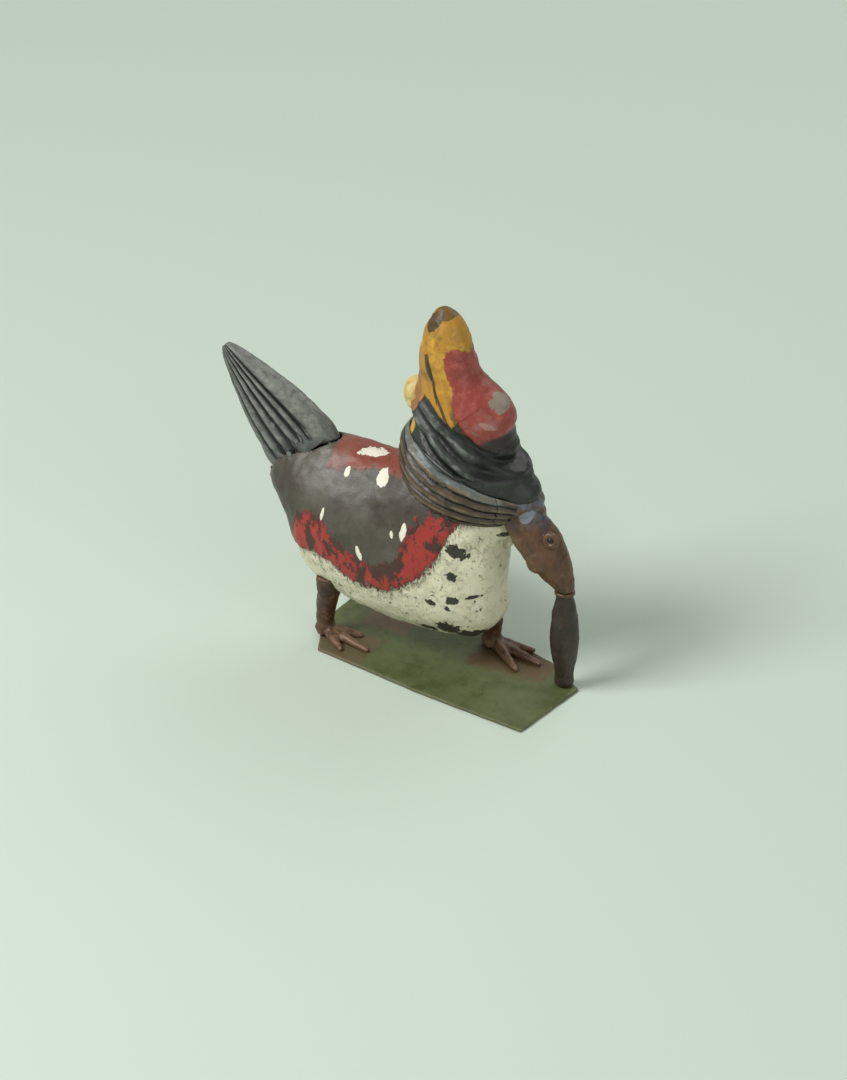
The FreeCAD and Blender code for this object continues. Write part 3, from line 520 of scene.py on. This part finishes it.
def collar_paint():
    paint = Paint("fold_paint", "4a3a2a")
    x, y, z = paint.axes()
    paint.mottle("38332a", 0.8, (0.42, 0.66), 5, 4, seed=61)
    slope = (HEM_FRONT[1] - HEM_BACK[1]) / (HEM_FRONT[0] - HEM_BACK[0])
    hem_plane = paint.math("ADD", paint.math("MULTIPLY", x, slope), plane_height(HEM_BACK, HEM_FRONT, 0.0))
    lift = paint.math("SUBTRACT", z, hem_plane)
    aside = paint.math("MULTIPLY", paint.math("MULTIPLY", y, y), -0.0125)
    ragged = paint.math("MULTIPLY", paint.noise(2, 3, seed=62), 1.5)
    hem_line = paint.math("ADD", paint.math("ADD", lift, aside), ragged)
    hem = paint.both(paint.step(hem_line, -2.4, -1.2), paint.step(x, 22, 17))
    paint.cover(hem, "68736f", 0.75)
    paint.mottle("8d979a", 0.7, (0.5, 0.65), 3, 4, seed=63, within=hem)
    paint.cover(paint.step(x, 19, 23), "3a281a", 0.8)
    relief = paint.relief()
    # Painted shade in the grooves between the folds.
    paint.cover(paint.step(relief, 0.62, 0.25), "14110c", 0.97)
    # Painted highlight on the fold crests, broken into patches.
    highlight_patches = paint.step(paint.noise(4, 4, seed=64), 0.38, 0.6)
    paint.cover(paint.both(paint.step(relief, 0.8, 0.98), highlight_patches), "80705a", 0.6)
    paint.worn(dark="1d1812", bright="9a958a", grime_and_shade=0.45, chips=0.3, edges=0.5)
    return paint.finished(gloss=0.38, spread=0.25)


def crest_paint():
    """The hood: dark green neck, ochre hood, and the red panel at its front."""
    paint = Paint("crest_paint", "333a33")
    x, y, z = paint.axes()
    paint.mottle("20251f", 0.85, (0.45, 0.68), 4, 5, seed=71)
    paint.mottle("6b7069", 0.55, (0.6, 0.72), 3, 4, seed=72)
    wander = paint.swing(paint.noise(3, 5, 0.65, seed=73), 3.4)
    low = paint.graph(x, [(-18, 77), (-10, 80), (-5, 88), (0, 85), (5, 81.5), (7, 84), (12, 88), (22, 84)])
    above = paint.math("ADD", paint.math("SUBTRACT", z, low), wander)
    hood = paint.step(above, -0.3, 0.5)
    paint.cover(paint.step(above, -2.0, -0.2), "1b160f", 0.6)
    paint.cover(hood, "b4832b", 1.0, 0.35)
    paint.mottle("6a4b20", 0.6, (0.52, 0.66), 6, 5, 0.65, seed=79, within=hood)
    paint.mottle("d6a53c", 0.75, (0.5, 0.68), 4, 5, seed=74, within=hood)
    paint.mottle("8a5f1d", 0.75, (0.56, 0.66), 2.4, 5, 0.7, seed=75, within=hood)
    nape = paint.both(hood, paint.step(paint.math("ADD", x, paint.math("MULTIPLY", z, 0.12)), 4.6, 3.0))
    paint.cover(nape, "8b5a44", 0.75)
    near = paint.step(y, -2, -4)
    for line in ((-4.5, 96.5, 4.0, 1.0, 105), (-2.6, 92.5, 6.2, 0.45, 112), (1.0, 86.4, 5.4, 0.5, -56)):
        paint.cover(paint.both(near, paint.spot(*line, 0.8, seed=5)), "2c2114", 0.85, -0.25)
    paint.cover(paint.spot(-4.6, 109.3, 3.4, 2.0, 50, 0.9, seed=6), "2a2018", 0.85)
    paint.cover(paint.both(hood, paint.spot(-1.5, 112, 3.2, 1.6, 0, 0.8, seed=8)), "54401f", 0.8)
    def panel_shape(long_margin, wide_margin):
        low = paint.spot(12.8, 85.2, 12.6 + long_margin, 6.2 + wide_margin, -51, 0.4, seed=9)
        high = paint.spot(5.4, 95.6, 8.0 + long_margin, 3.7 + wide_margin, -60, 0.5, seed=9)
        return paint.math("MAXIMUM", low, high)
    panel = panel_shape(0.0, 0.0)
    # Painted shade in the groove round the lower edge of the red panel.
    paint.cover(paint.both(panel_shape(1.0, 0.9), paint.step(z, 92, 84)), "241710", 0.7)
    paint.cover(panel, "8f3b32", 1.0, 0.3)
    paint.mottle("a85347", 0.75, (0.46, 0.64), 3, 5, 0.7, seed=76, within=panel)
    paint.mottle("6a231d", 0.7, (0.58, 0.68), 2, 5, 0.7, seed=77, within=panel)
    paint.cover(paint.spot(15.0, 88.4, 3.3, 1.6, -48, 1.6, seed=10), "8f8a7c", 0.8)
    paint.cover(paint.spot(14.6, 83.0, 2.4, 0.7, -25, 2.0, seed=11), "a9887b", 0.6)
    paint.cover(paint.spot(-10.2, 77.2, 1.5, 3.0, 10, 0.9, seed=14), "d8a63a", 0.9, 0.2)
    green = paint.step(above, -0.2, -1.4)
    # Painted highlight on the fold tops of the green neck, broken into patches.
    highlight_patches = paint.step(paint.noise(3, 4, seed=78), 0.36, 0.6)
    fold_top_highlights = paint.both(paint.step(paint.relief(), 0.3, 0.75), highlight_patches)
    paint.cover(paint.both(green, fold_top_highlights), "868c84", 0.7)
    # Painted shade in the hollows between the neck folds.
    paint.cover(paint.both(green, paint.step(paint.relief(), -0.05, -0.55)), "0e110c", 0.9)
    # Painted shade in the recess at the front of the neck.
    recess_shade = paint.both(paint.step(z, 79.5, 77.5), paint.step(x, 8, 14))
    paint.cover(recess_shade, "191a15", 0.6)
    paint.worn(dark="231a12", bright="8d867a", grime_and_shade=0.35, chips=0.3, edges=0.3)
    return paint.finished(gloss=0.42, spread=0.25)


def knob_paint():
    paint = Paint("knob_paint", "d9c27a")
    paint.mottle("b98f3d", 0.7, (0.48, 0.66), 3, 5, seed=81)
    paint.mottle("6e4e24", 0.7, (0.58, 0.68), 1.6, 5, 0.7, seed=82)
    paint.worn(dark="3a2a18", bright="efe4b4", grime_and_shade=0.4, chips=0.3, edges=0.4)
    return paint.finished()


def brown_paint(name, base, light, dark, blue_highlight=0.0, toes=0.0):
    paint = Paint(name, base)
    paint.mottle(dark, 0.8, (0.45, 0.68), 5, 5, seed=91)
    paint.mottle(light, 0.65, (0.52, 0.68), 2.6, 5, 0.7, seed=92)
    if blue_highlight:
        x, _, z = paint.axes()
        # Painted bluish highlight over the top of the head, and a painted glint spot on it.
        top = paint.both(paint.step(z, 50.5, 55), paint.step(paint.noise(2.5, 4, seed=93), 0.4, 0.6))
        paint.cover(top, "5a6472", blue_highlight)
        paint.cover(paint.spot(25.5, 55.5, 2.4, 1.5, 60, 0.9, seed=12), "9aa2b4", 0.8 * blue_highlight)
        throat = paint.both(paint.step(x, 25, 21), paint.step(z, 52, 47))
        paint.cover(throat, "8a6a50", 0.5)
    if toes:
        z = paint.axes()[2]
        tan = paint.both(paint.step(z, 6.5, 3.5), paint.step(paint.noise(3, 4, seed=94), 0.34, 0.56))
        paint.cover(tan, "86684e", toes)
    paint.worn(dark="1c120b", bright="83705c", grime_and_shade=0.5, chips=0.35, edges=0.4)
    return paint.finished(gloss=0.42, spread=0.25)


def grass_paint():
    paint = Paint("grass_paint", "59613b")
    paint.mottle("3b440f", 0.75, (0.42, 0.66), 11, 4, seed=101)
    paint.mottle("626b42", 0.75, (0.5, 0.7), 5, 5, seed=102)
    paint.mottle("2f3418", 0.75, (0.6, 0.7), 2.4, 6, 0.75, seed=103)
    _, y, z = paint.axes()
    near_toes = paint.both(paint.spot(-29, 0, 9, 60, 0, 0.9, seed=13), paint.step(y, -1, -5))
    paint.cover(near_toes, "6b5440", 0.65)
    far_toes = paint.both(paint.spot(17, 0, 12, 60, 0, 0.9, seed=15), paint.step(y, -5, 0))
    paint.cover(far_toes, "64462e", 0.75)
    paint.cover(paint.both(paint.spot(-24, 0, 7, 60, 0, 0.9, seed=16), paint.step(y, 0, 4)), "80604e", 0.6)
    paint.cover(paint.step(z, 0.75, 0.35), "7a6a55", 0.75)
    paint.worn(dark="2a2616", bright="7f7a62", grime_and_shade=0.35, chips=0.25, edges=0.5)
    return paint.finished(gloss=0.5, spread=0.25)


def metal(name, base, stain, gloss):
    paint = Paint(name, base)
    paint.mottle(stain, 0.6, (0.5, 0.72), 4, 5, seed=111)
    brushed = paint.noise(0.5, 3, 0.6, paint.stretched((1, 0.08, 1)), seed=112)
    paint.cover(paint.step(brushed, 0.5, 0.75), stain, 0.35)
    paint.mottle("3b2a1c", 0.5, (0.66, 0.72), 1.2, 6, 0.75, seed=113)
    paint.raise_by(brushed, 0.04)
    return paint.finished(gloss=gloss, spread=0.2, metal=1.0, bump=0.4)


BODY_PAINT, TAIL_PAINT, COLLAR_PAINT, CREST_PAINT = body_paint(), tail_paint(), collar_paint(), crest_paint()
KNOB_PAINT, GRASS_PAINT = knob_paint(), grass_paint()
HEAD_PAINT = brown_paint("head_paint", "5e3f28", "7c5a3e", "3b2516", blue_highlight=0.8)
BILL_PAINT = brown_paint("bill_paint", "33261d", "4d3c30", "1d140e")
LEG_PAINT = brown_paint("leg_paint", "4a2c18", "83644b", "2b170c", toes=0.6)
EYE_PAINT = brown_paint("eye_paint", "2a1c13", "4c3828", "120b07")
BRASS = metal("old_brass", "b08d4a", "7d6131", 0.35)
STEEL = metal("old_steel", "8c8b88", "5d5a55", 0.38)
BLUED = metal("blued_steel", "3b4252", "23262f", 0.3)


# ---- body ----------------------------------------------------------------------------
NECK_OPENING = (NECK, NECK_R + 1.0, NECK_W + 1.0)
TAIL_OPENING = (TAIL, TAIL_R + 0.3, TAIL_W + 0.3)
KEY_X, KEY_Z, KEY_HOLE_R = -31.0, 38.0, 2.6
LEVER_SLOT_X, LEVER_SLOT_Y, LEVER_SLOT_TOP = (-10.5, -0.5), (8.0, 10.0), 18.0


def reach_in(p, opening):
    """How far out a point is in a spheroid opening: 1 on its surface, less inside."""
    centre, radius, half_width = opening
    return math.sqrt(((p.x - centre.x) ** 2 + (p.z - centre.z) ** 2) / radius**2 + (p.y / half_width) ** 2)


def trimmed(points, faces):
    """Moves the ragged rims of the neck and tail openings onto the openings' surfaces."""
    uses = [0] * len(points)
    for face in faces:
        for i in face:
            uses[i] += 1
    for i, p in enumerate(points):
        for opening in (NECK_OPENING, TAIL_OPENING):
            away = reach_in(p, opening)
            if 0 < uses[i] < 4 and 0.9 < away < 1.1:
                points[i] = opening[0] + (p - opening[0]) / away
    return points, faces


def body_skin(name, sign, node):
    """One half of the body with its wing in relief, open at the neck, the tail and the key."""
    rows, columns = 190, 120
    back, front = BODY[0][0], BODY[-1][0]
    def point(u, v):
        x = back + (front - back) * (0.5 - 0.5 * math.cos(math.pi * u))
        middle, tall, wide = station(BODY, x)
        pole = 0.0 if u in (0.0, 1.0) else 1.0
        turn = math.pi * v
        y, z = sign * pole * wide * math.sin(turn), middle - pole * tall * math.cos(turn)
        p = Vector((x, y, z))
        out = Vector((0, y / wide**2, (z - middle) / tall**2))
        if out.length > 1e-9:
            out.normalize()
        sideways = smooth(0.1, 0.5, abs(y) / wide)
        fringe = 2.2 * rough((x * 1.0, 0, z * 0.25), 1.9, 3)
        above = z - edge_height(CREAM_EDGE, x) + fringe
        wing = 0.75 * smooth(-0.8, 0.9, above) * smooth(9, 3, x) * sideways
        barbs = 0.22 * rough((x + 0.3 * z, 0, (z - x) * 0.22), 1.3, 5)
        quill = barbs * smooth(16, 4, above) * sideways * smooth(9, 3, x)
        lumps = 0.35 * rough(p, 8, 1) + 0.16 * rough(p, 2.6, 2) + 0.05 * rough(p, 0.9, 4)
        bumpy_rump = 0.35 * rough(p, 3.2, 6) * smooth(-38, -48, x)
        seam = smooth(0.02, 0.06, min(v, 1 - v))
        low = smooth(0.25, -0.5, (z - middle) / tall)
        high = smooth(0.2, 0.95, (z - middle) / tall)
        saddle = 3.8 * high * smooth(-55, -41, x) * smooth(-8, -22, x)
        rump = smooth(-41, -53, x) * (0.3 + 3.7 * low)
        breast = 2.8 * smooth(11, 17, x) * smooth(36, 46, z) - 1.5 * smooth(2, 12, x) * smooth(33, 24, z)
        dent = 4.0 * smooth(0, 17, x) * smooth(19, 28, z) * smooth(51, 41, z)
        raised = wing + quill + (lumps + bumpy_rump) * seam
        return p + out * (raised - saddle - rump - breast) - Vector((dent, 0, 0))
    def keep(p):
        if min(reach_in(p, NECK_OPENING), reach_in(p, TAIL_OPENING)) < 1:
            return False
        if sign < 0:
            return True
        if math.hypot(p.x - KEY_X, p.z - KEY_Z) < KEY_HOLE_R:
            return False
        (x0, x1), (y0, y1) = LEVER_SLOT_X, LEVER_SLOT_Y
        return not (x0 < p.x < x1 and y0 < p.y < y1 and p.z < LEVER_SLOT_TOP)
    points, faces = trimmed(*grid(point, rows, columns, keep=keep))
    mesh_piece(name, points, faces, "housing", [node], BODY_PAINT, thickness=0.8)


body_skin("body_right_skin", -1, "body_right_shell")
body_skin("body_left_skin", 1, "body_left_shell")


# ---- tail ----------------------------------------------------------------------------
# length along the tail, half depth, half width
TAIL_TABLE = [
    (-3.0, 11.6, 5.6), (3.0, 11.9, 5.6), (12.0, 10.2, 5.4), (20.0, 7.6, 4.6), (28.0, 4.6, 3.3),
    (33.0, 2.5, 2.1), (34.9, 1.2, 1.1),
]
RIDGES = 4


def tail_skin():
    """The cocked tail: a broad vane above and four rounded ridges below it, running lengthwise."""
    out = Vector((math.cos(TAIL_ANGLE), 0, math.sin(TAIL_ANGLE)))
    across = Vector((math.sin(TAIL_ANGLE), 0, -math.cos(TAIL_ANGLE)))
    rows, columns = 110, 220
    heights = []
    def point(u, v):
        s = TAIL_TABLE[0][0] + (TAIL_TABLE[-1][0] - TAIL_TABLE[0][0]) * u
        deep, wide = station(TAIL_TABLE, s)
        turn = 2 * math.pi * v
        from_top = min(turn, 2 * math.pi - turn)
        ridge = (0.24 - math.cos(from_top + 0.42)) / 0.285
        start = 0.3 + 0.9 * math.sin(1.7 * ridge)
        full = smooth(start - 2.0, start + 0.6, s) * (0.3 + 0.7 * wide / 5.6)
        bow = abs(math.sin(math.pi * (ridge % 1.0))) ** 0.8
        ribbed = smooth(-0.05, 0.1, ridge) * smooth(RIDGES + 0.1, RIDGES - 0.1, ridge)
        sunk = 1.2 + 0.4 * smooth(4.5, 1.5, s)
        relief = full * (ribbed * (1.6 * bow - sunk) - 0.5 * smooth(0.3, 0.0, abs(ridge)))
        relief += 0.35 * full * smooth(0.0, -0.8, ridge)
        heights.append(relief)
        away = Vector((0, math.sin(turn) / wide, 0)) + across * (math.cos(turn) / deep)
        away.normalize()
        p = TAIL + out * s + across * (deep * math.cos(turn))
        p.y = wide * math.sin(turn)
        p += away * (relief + (0.2 * rough(p, 3.4, 9) + 0.09 * rough(p, 1.2, 8)) * full)
        return p
    points, faces = grid(point, rows, columns, closed=True)
    points, faces = capped(points, faces, rows, columns)
    mesh_piece("tail_skin", points, faces, "tail", ["tail_right_shell"], TAIL_PAINT, relief=heights)


def tail_root():
    """The half drum that the tail turns on, in the body's socket."""
    rows, columns = 60, 48
    def point(u, v):
        turn = TAIL_ANGLE + math.radians(112) * (2 * u - 1)
        lean = math.pi * (v - 0.5)
        r, y = (TAIL_R - 0.25) * math.cos(lean), 0.7 * TAIL_W * math.sin(lean)
        p = TAIL + Vector((r * math.cos(turn), y, r * math.sin(turn)))
        return p + (p - TAIL).normalized() * 0.12 * rough(p, 3, 12)
    points, faces = grid(point, rows, columns)
    mesh_piece("tail_root", points, faces, "tail", ["tail_left_shell"], TAIL_PAINT, thickness=0.8)


tail_skin()
tail_root()


# ---- collar --------------------------------------------------------------------------
FOLDS = 3.4
COLLAR_OPEN = math.radians(35)
SIDE_RISE = 0.2                 # how much higher the hem stands at the sides
THROAT_RISE = 2.6               # how far the throat swells in front of the neck


def collar_point(share, azimuth, lift):
    """A point on the collar: share runs from its lower rim to its hem."""
    slope_low = (RIM_FRONT[1] - RIM_BACK[1]) / (RIM_FRONT[0] - RIM_BACK[0])
    slope_high = (HEM_FRONT[1] - HEM_BACK[1]) / (HEM_FRONT[0] - HEM_BACK[0])
    slope = slope_low + (slope_high - slope_low) * share
    low, high = plane_height(RIM_BACK, RIM_FRONT, NECK.x), plane_height(HEM_BACK, HEM_FRONT, NECK.x)
    rise = low + (high - low) * share - NECK.z
    radius, width = NECK_R + lift, NECK_W + lift
    c, s = math.cos(azimuth), math.sin(azimuth)
    a = (c * c + (slope * c) ** 2) / radius**2 + s * s / width**2
    b = 2 * rise * slope * c / radius**2
    k = rise * rise / radius**2 - 1
    reach = (-b + math.sqrt(max(0.0, b * b - 4 * a * k))) / (2 * a)
    return Vector((NECK.x + reach * c, reach * s, NECK.z + rise + slope * reach * c))


def collar_band(name, start, end, body, nodes, columns):
    """Overlapping rounded folds round the neck with a broader hem on top."""
    rows = 90
    heights = []
    def point(u, v):
        azimuth = start + (end - start) * v
        share = -0.06 + (1.08 + SIDE_RISE * math.sin(azimuth) ** 2) * u
        wobble = 0.05 * math.sin(azimuth * 3.1 + 0.6) + 0.03 * rough((azimuth * 6, 0, 0), 1.5, 14)
        fold = (share + wobble * 0.6) * FOLDS
        bow = abs(math.sin(math.pi * (fold % 1.0))) ** 0.75
        nape = smooth(-0.6, -0.97, math.cos(azimuth))
        uneven = 0.85 + 0.3 * rough((azimuth * 5, share * 3, 0), 1.3, 17)
        lift = (0.5 + 1.6 * bow * uneven) * (1 - 0.6 * nape) * smooth(1.0, 0.86, u) + 0.4
        heights.append(bow)
        from_front = min(azimuth % (2 * math.pi), -azimuth % (2 * math.pi))
        front = smooth(math.radians(34), math.radians(6), from_front)
        lift += front * THROAT_RISE * smooth(-0.1, 0.8, share)
        p = collar_point(share, azimuth, lift)
        return p + (p - NECK).normalized() * (0.16 * rough(p, 3.4, 15) + 0.07 * rough(p, 1.2, 16))
    points, faces = grid(point, rows, columns)
    mesh_piece(name, points, faces, body, nodes, COLLAR_PAINT, thickness=0.5, relief=heights)


collar_band("collar_folds", COLLAR_OPEN, 2 * math.pi - COLLAR_OPEN, "housing",
            ["collar_yoke", "collar_lower_band", "collar_middle_band", "collar_hem_band"], 200)
collar_band("throat_folds", -COLLAR_OPEN * 0.985, COLLAR_OPEN * 0.985, "neck_and_head", ["throat_bands"], 50)


# ---- neck and crest ------------------------------------------------------------------
CREST = [
    (72.0, 3.6, 14.6, 11.2), (77.0, 3.6, 15.0, 11.2), (80.0, 3.4, 15.2, 11.0), (84.0, 3.2, 14.6, 10.4),
    (87.0, 2.3, 12.8, 9.4), (90.0, 0.5, 10.8, 8.4), (93.0, -1.0, 9.0, 7.3), (98.0, -2.0, 8.2, 6.9),
    (104.0, -2.1, 6.8, 5.8), (109.0, -2.2, 4.9, 4.2), (112.0, -2.6, 2.5, 2.1), (113.0, -2.7, 0.9, 0.8),
]
PANEL_X, PANEL_Z, PANEL_TURN = 10.3, 88.6, math.radians(-50)
PANEL_LONG, PANEL_WIDE = 14.6, 6.6


def panel_distance(p):
    """0 at the middle of the red panel and 1 at its edge."""
    dx, dz = p.x - PANEL_X, p.z - PANEL_Z
    a = (dx * math.cos(PANEL_TURN) + dz * math.sin(PANEL_TURN)) / PANEL_LONG
    b = (-dx * math.sin(PANEL_TURN) + dz * math.cos(PANEL_TURN)) / (PANEL_WIDE * (0.86 + 0.24 * a))
    return math.hypot(a, b)


def neck_and_crest():
    rows, columns = 60, 60
    def point(u, v):
        z = CREST[0][0] + (CREST[-1][0] - CREST[0][0]) * u
        x, long, wide = station(CREST, z)
        turn = 2 * math.pi * v
        return Vector((x + long * math.cos(turn), wide * math.sin(turn), z))
    hood = capped(*grid(point, rows, columns, closed=True), rows, columns)
    bulb = ball(NECK, (NECK_R - 0.1, NECK_W - 0.2, NECK_R - 0.1), 40, 60)
    throat = merged(ball((13.2, 0, 64.8), (11.4, 8.6, 8.6)), ball((18.0, 0, 60.8), (9.2, 7.6, 6.0)))
    def shape(p):
        push = 0.22 * rough(p, 5, 20) + 0.12 * rough(p, 1.8, 21)
        push -= 2.2 * smooth(5.5, 0.5, abs(p.z - 71)) * smooth(11, 18, p.x)
        if p.z > 68:
            away = panel_distance(p)
            flank = max(smooth(0.8, 3.0, abs(p.y)), smooth(6, 11, p.x))
            push += flank * 0.4 * smooth(1.0, 0.72, away)
            push -= flank * 0.45 * smooth(0.13, 0.0, abs(away - 1.07)) * smooth(97, 88, p.z)
            push -= 1.5 * smooth(66, 72, p.z) * smooth(82, 76, p.z) * smooth(11, 19, p.x)
            beside = smooth(1.1, 1.2, away) * smooth(2.2, 1.8, away)
            high_up = smooth(79, 82, p.z) * smooth(11, 7, p.x)
            push += flank * 0.14 * math.cos((away - 1.25) * 17) * beside * high_up
            rise = p.z - plane_height(HEM_BACK, HEM_FRONT, p.x)
            start = 0.5 + 4.5 * smooth(2, -8, p.x)
            fold = smooth(start, start + 1.5, rise) * smooth(17, 11, rise) * smooth(1.0, 1.12, away)
            push += 0.75 * math.sin(rise * 1.2 + 0.16 * p.x + 0.8 * rough(p, 7, 22)) * fold
        return push
    stands_for = [
        "neck_right_shell", "neck_left_shell", "crest_right_shell", "crest_left_shell", "crest_red_panels"]
    sculpted("neck_and_crest", [hood, bulb, throat], 0.5, 6, shape, "neck_and_head", stands_for, CREST_PAINT)


def nape_knob():
    parts = [ball((-11.6, 0, 83.6), (3.6, 4.2, 4.6)), ball((-10.9, -1.0, 81.4), (2.8, 3.6, 2.4))]
    def shape(p):
        return 0.3 * rough(p, 2.2, 25) + 0.1 * rough(p, 0.9, 26)
    sculpted("nape_knob_skin", parts, 0.35, 5, shape, "neck_and_head", ["nape_knob"], KNOB_PAINT)


neck_and_crest()
nape_knob()


# ---- head and bill -------------------------------------------------------------------
HEAD = [
    (0.0, 21.2, 54.4, 6.4, 6.0, -40), (1.0, 23.6, 49.8, 6.6, 5.3, -44), (2.0, 27.7, 45.0, 6.8, 5.7, -50),
    (3.0, 31.2, 40.0, 5.6, 5.1, -56), (4.0, 34.0, 35.2, 3.9, 3.6, -68), (5.0, 35.3, 32.4, 2.8, 2.7, -90),
]
EYES = [("right", Vector((32.7, -3.5, 49.4)), 2.5), ("left", Vector((28.6, 4.3, 46.6)), 1.9)]


def head_skin():
    rows, columns = 50, 48
    def point(u, v):
        x, z, deep, wide, lean = station(HEAD, 5.0 * u)
        turn, lean = 2 * math.pi * v, math.radians(lean)
        c = deep * math.cos(turn)
        return Vector((x - math.sin(lean) * c, wide * math.sin(turn), z + math.cos(lean) * c))
    skull = capped(*grid(point, rows, columns, closed=True), rows, columns)
    parts = [skull, ball((22.6, 0, 57.4), (5.2, 6.8, 4.4)), ball((24.6, 0, 54.2), (4.0, 5.0, 3.6))]
    for _, eye, size in EYES:
        parts.append(ball(tuple(eye), (size, size * 0.8, size)))
        parts.append(ball((28.8, math.copysign(5.0, eye.y), 42.2), (3.2, 2.0, 3.6)))
    def shape(p):
        push = 0.25 * rough(p, 3.6, 30) + 0.14 * rough(p, 1.3, 31)
        for _, eye, _ in EYES:
            hollow = Vector((eye.x + 0.3, eye.y * 1.45, eye.z + 0.6))
            away = (p - hollow).length
            push -= 1.3 * smooth(1.7, 0.7, away)
            push += 0.3 * smooth(0.9, 0.0, abs(away - 2.3))
        return push
    halves = ["head_right_shell", "head_left_shell"]
    sculpted("head_skin", parts, 0.4, 5, shape, "neck_and_head", halves, HEAD_PAINT)
    for side_name, eye, size in EYES:
        place = (eye.x + 0.1, eye.y * 1.18, eye.z + 0.4)
        points, faces = ball(place, (1.0, 0.7, 1.0), 16, 20)
        nodes = ["eyes"] if eye.y < 0 else []
        mesh_piece("eye_" + side_name, points, faces, "neck_and_head", nodes, EYE_PAINT)


# height and radius of the bill
BILL = [
    (1.35, 2.0), (1.7, 2.6), (3.0, 2.8), (5.0, 2.6), (7.0, 2.9), (10.0, 3.5), (14.0, 4.0), (18.0, 4.1),
    (22.0, 3.8), (26.0, 3.3), (29.0, 2.7), (31.0, 2.3),
]


def bill_skin():
    rows, columns = 80, 40
    def point(u, v):
        z = BILL[0][0] + (BILL[-1][0] - BILL[0][0]) * u
        radius, = station(BILL, z)
        turn = 2 * math.pi * v
        p = Vector((BILL_X + radius * math.cos(turn), radius * math.sin(turn), z))
        grow = 0.16 * rough(p, 2.6, 35) + 0.07 * rough(p, 0.9, 36)
        return p + Vector((math.cos(turn), math.sin(turn), 0)) * grow
    points, faces = capped(*grid(point, rows, columns, closed=True), rows, columns)
    mesh_piece("bill_skin", points, faces, "neck_and_head", ["bill"], BILL_PAINT)
    def ring(u, v):
        around, lean = 2 * math.pi * u, 2 * math.pi * v
        reach = 2.35 + 0.62 * math.cos(lean)
        p = Vector((BILL_X + reach * math.cos(around), reach * math.sin(around), 31.5 + 0.7 * math.sin(lean)))
        return p + Vector((math.cos(around), math.sin(around), 0)) * 0.1 * rough(p, 1.4, 38)
    points, faces = grid(ring, 48, 16, closed=True)
    mesh_piece("bill_ring_skin", points, faces, "neck_and_head", ["bill_ring"], HEAD_PAINT)


head_skin()
bill_skin()


# ---- base and legs -------------------------------------------------------------------
BASE = [
    (-35, -16), (0.5, -22.7), (36, -27), (40, 0), (27, 9), (4, 16), (-10, 18), (-30, 19), (-40, 12),
    (-41, -3),
]


def base_skin():
    """The thin plate with hand-cut edges."""
    outline = []
    for (x0, y0), (x1, y1) in zip(BASE, BASE[1:] + BASE[:1]):
        steps = max(2, int(math.hypot(x1 - x0, y1 - y0) / 1.2))
        for k in range(steps):
            x, y = x0 + (x1 - x0) * k / steps, y0 + (y1 - y0) * k / steps
            inwards = Vector((-x, -y, 0)).normalized() * (0.25 + 0.22 * rough((x, y, 0), 4, 40))
            outline.append(Vector((x, y, 0)) + inwards)
    rings = [(0.985, 0.0), (1.0, 0.22), (1.0, 0.75), (0.99, 1.0)]
    inner = [(0.96, 1.0), (0.88, 1.0), (0.75, 1.0), (0.6, 1.0), (0.45, 1.0), (0.3, 1.0), (0.15, 1.0)]
    points, faces = [], []
    for share, height in rings + inner:
        for p in outline:
            top = height + (0.06 * rough((p.x * share, p.y * share, 0), 5, 41) if height == 1.0 else 0)
            points.append(Vector((p.x * share, p.y * share, min(top, 1.04))))
    count = len(outline)
    for ring in range(len(rings + inner) - 1):
        for k in range(count):
            a, b = ring * count + k, ring * count + (k + 1) % count
            faces.append((a, b, b + count, a + count))
    faces.append(tuple(range(count))[::-1])
    faces.append(tuple(range(len(points) - count, len(points))))
    mesh_piece("base_skin", points, faces, "housing", ["base_plate"], GRASS_PAINT)


def leg_skin(name, node, foot, top, spread):
    fx, fy = foot
    ankle = [(fx, fy, 1.6), (fx - 0.4, fy, 5), (fx - 0.2, fy, 10)]
    shin = tube(ankle + [(top[0], top[1], 16), (top[0], top[1], 21)], [3.0, 2.6, 2.8, 3.4, 3.8])
    parts = [shin, ball((fx - 0.6, fy, 3.0), (3.0, 2.6, 2.4))]
    for turn, length in spread:
        a = math.radians(turn)
        reach = Vector((math.cos(a), math.sin(a), 0))
        heel = Vector((fx, fy, 2.6))
        centres = [heel + reach * length * t + Vector((0, 0, -1.0 * t)) for t in (0.0, 0.4, 0.8, 1.0)]
        parts.append(tube([tuple(c) for c in centres], [1.7, 1.45, 1.0, 0.6]))
    def shape(p):
        push = 0.25 * rough(p, 2.4, 45) + 0.1 * rough(p, 0.9, 46)
        return push if p.z > 1.6 else 0.0
    sculpted(name, parts, 0.4, 3, shape, "housing", [node], LEG_PAINT)


base_skin()
leg_skin("right_leg_skin", "right_leg", (-36.5, -7.5), (-35.5, -8.0),
         [(-14, 16.0), (-40, 11.0), (14, 10.5), (180, 3.5)])
leg_skin("left_leg_skin", "left_leg", (8.0, 9.0), (6.5, 8.6),
         [(-12, 17.5), (-37, 16.0), (10, 12.5), (180, 3.5)])


# ---- clockwork and finish ------------------------------------------------------------
def dress_clockwork():
    brass = (
        "frame_plate", "key_bush", "great_wheel", "second_wheel", "third_wheel", "crank_disc", "tail_cam")
    for name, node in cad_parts.items():
        if node.hide_render:
            continue
        finish = BRASS if name.startswith(brass) else BLUED if name == "mainspring" else STEEL
        for slot in node.material_slots:
            slot.material = finish
        if not node.material_slots:
            node.data.materials.append(finish)


dress_clockwork()
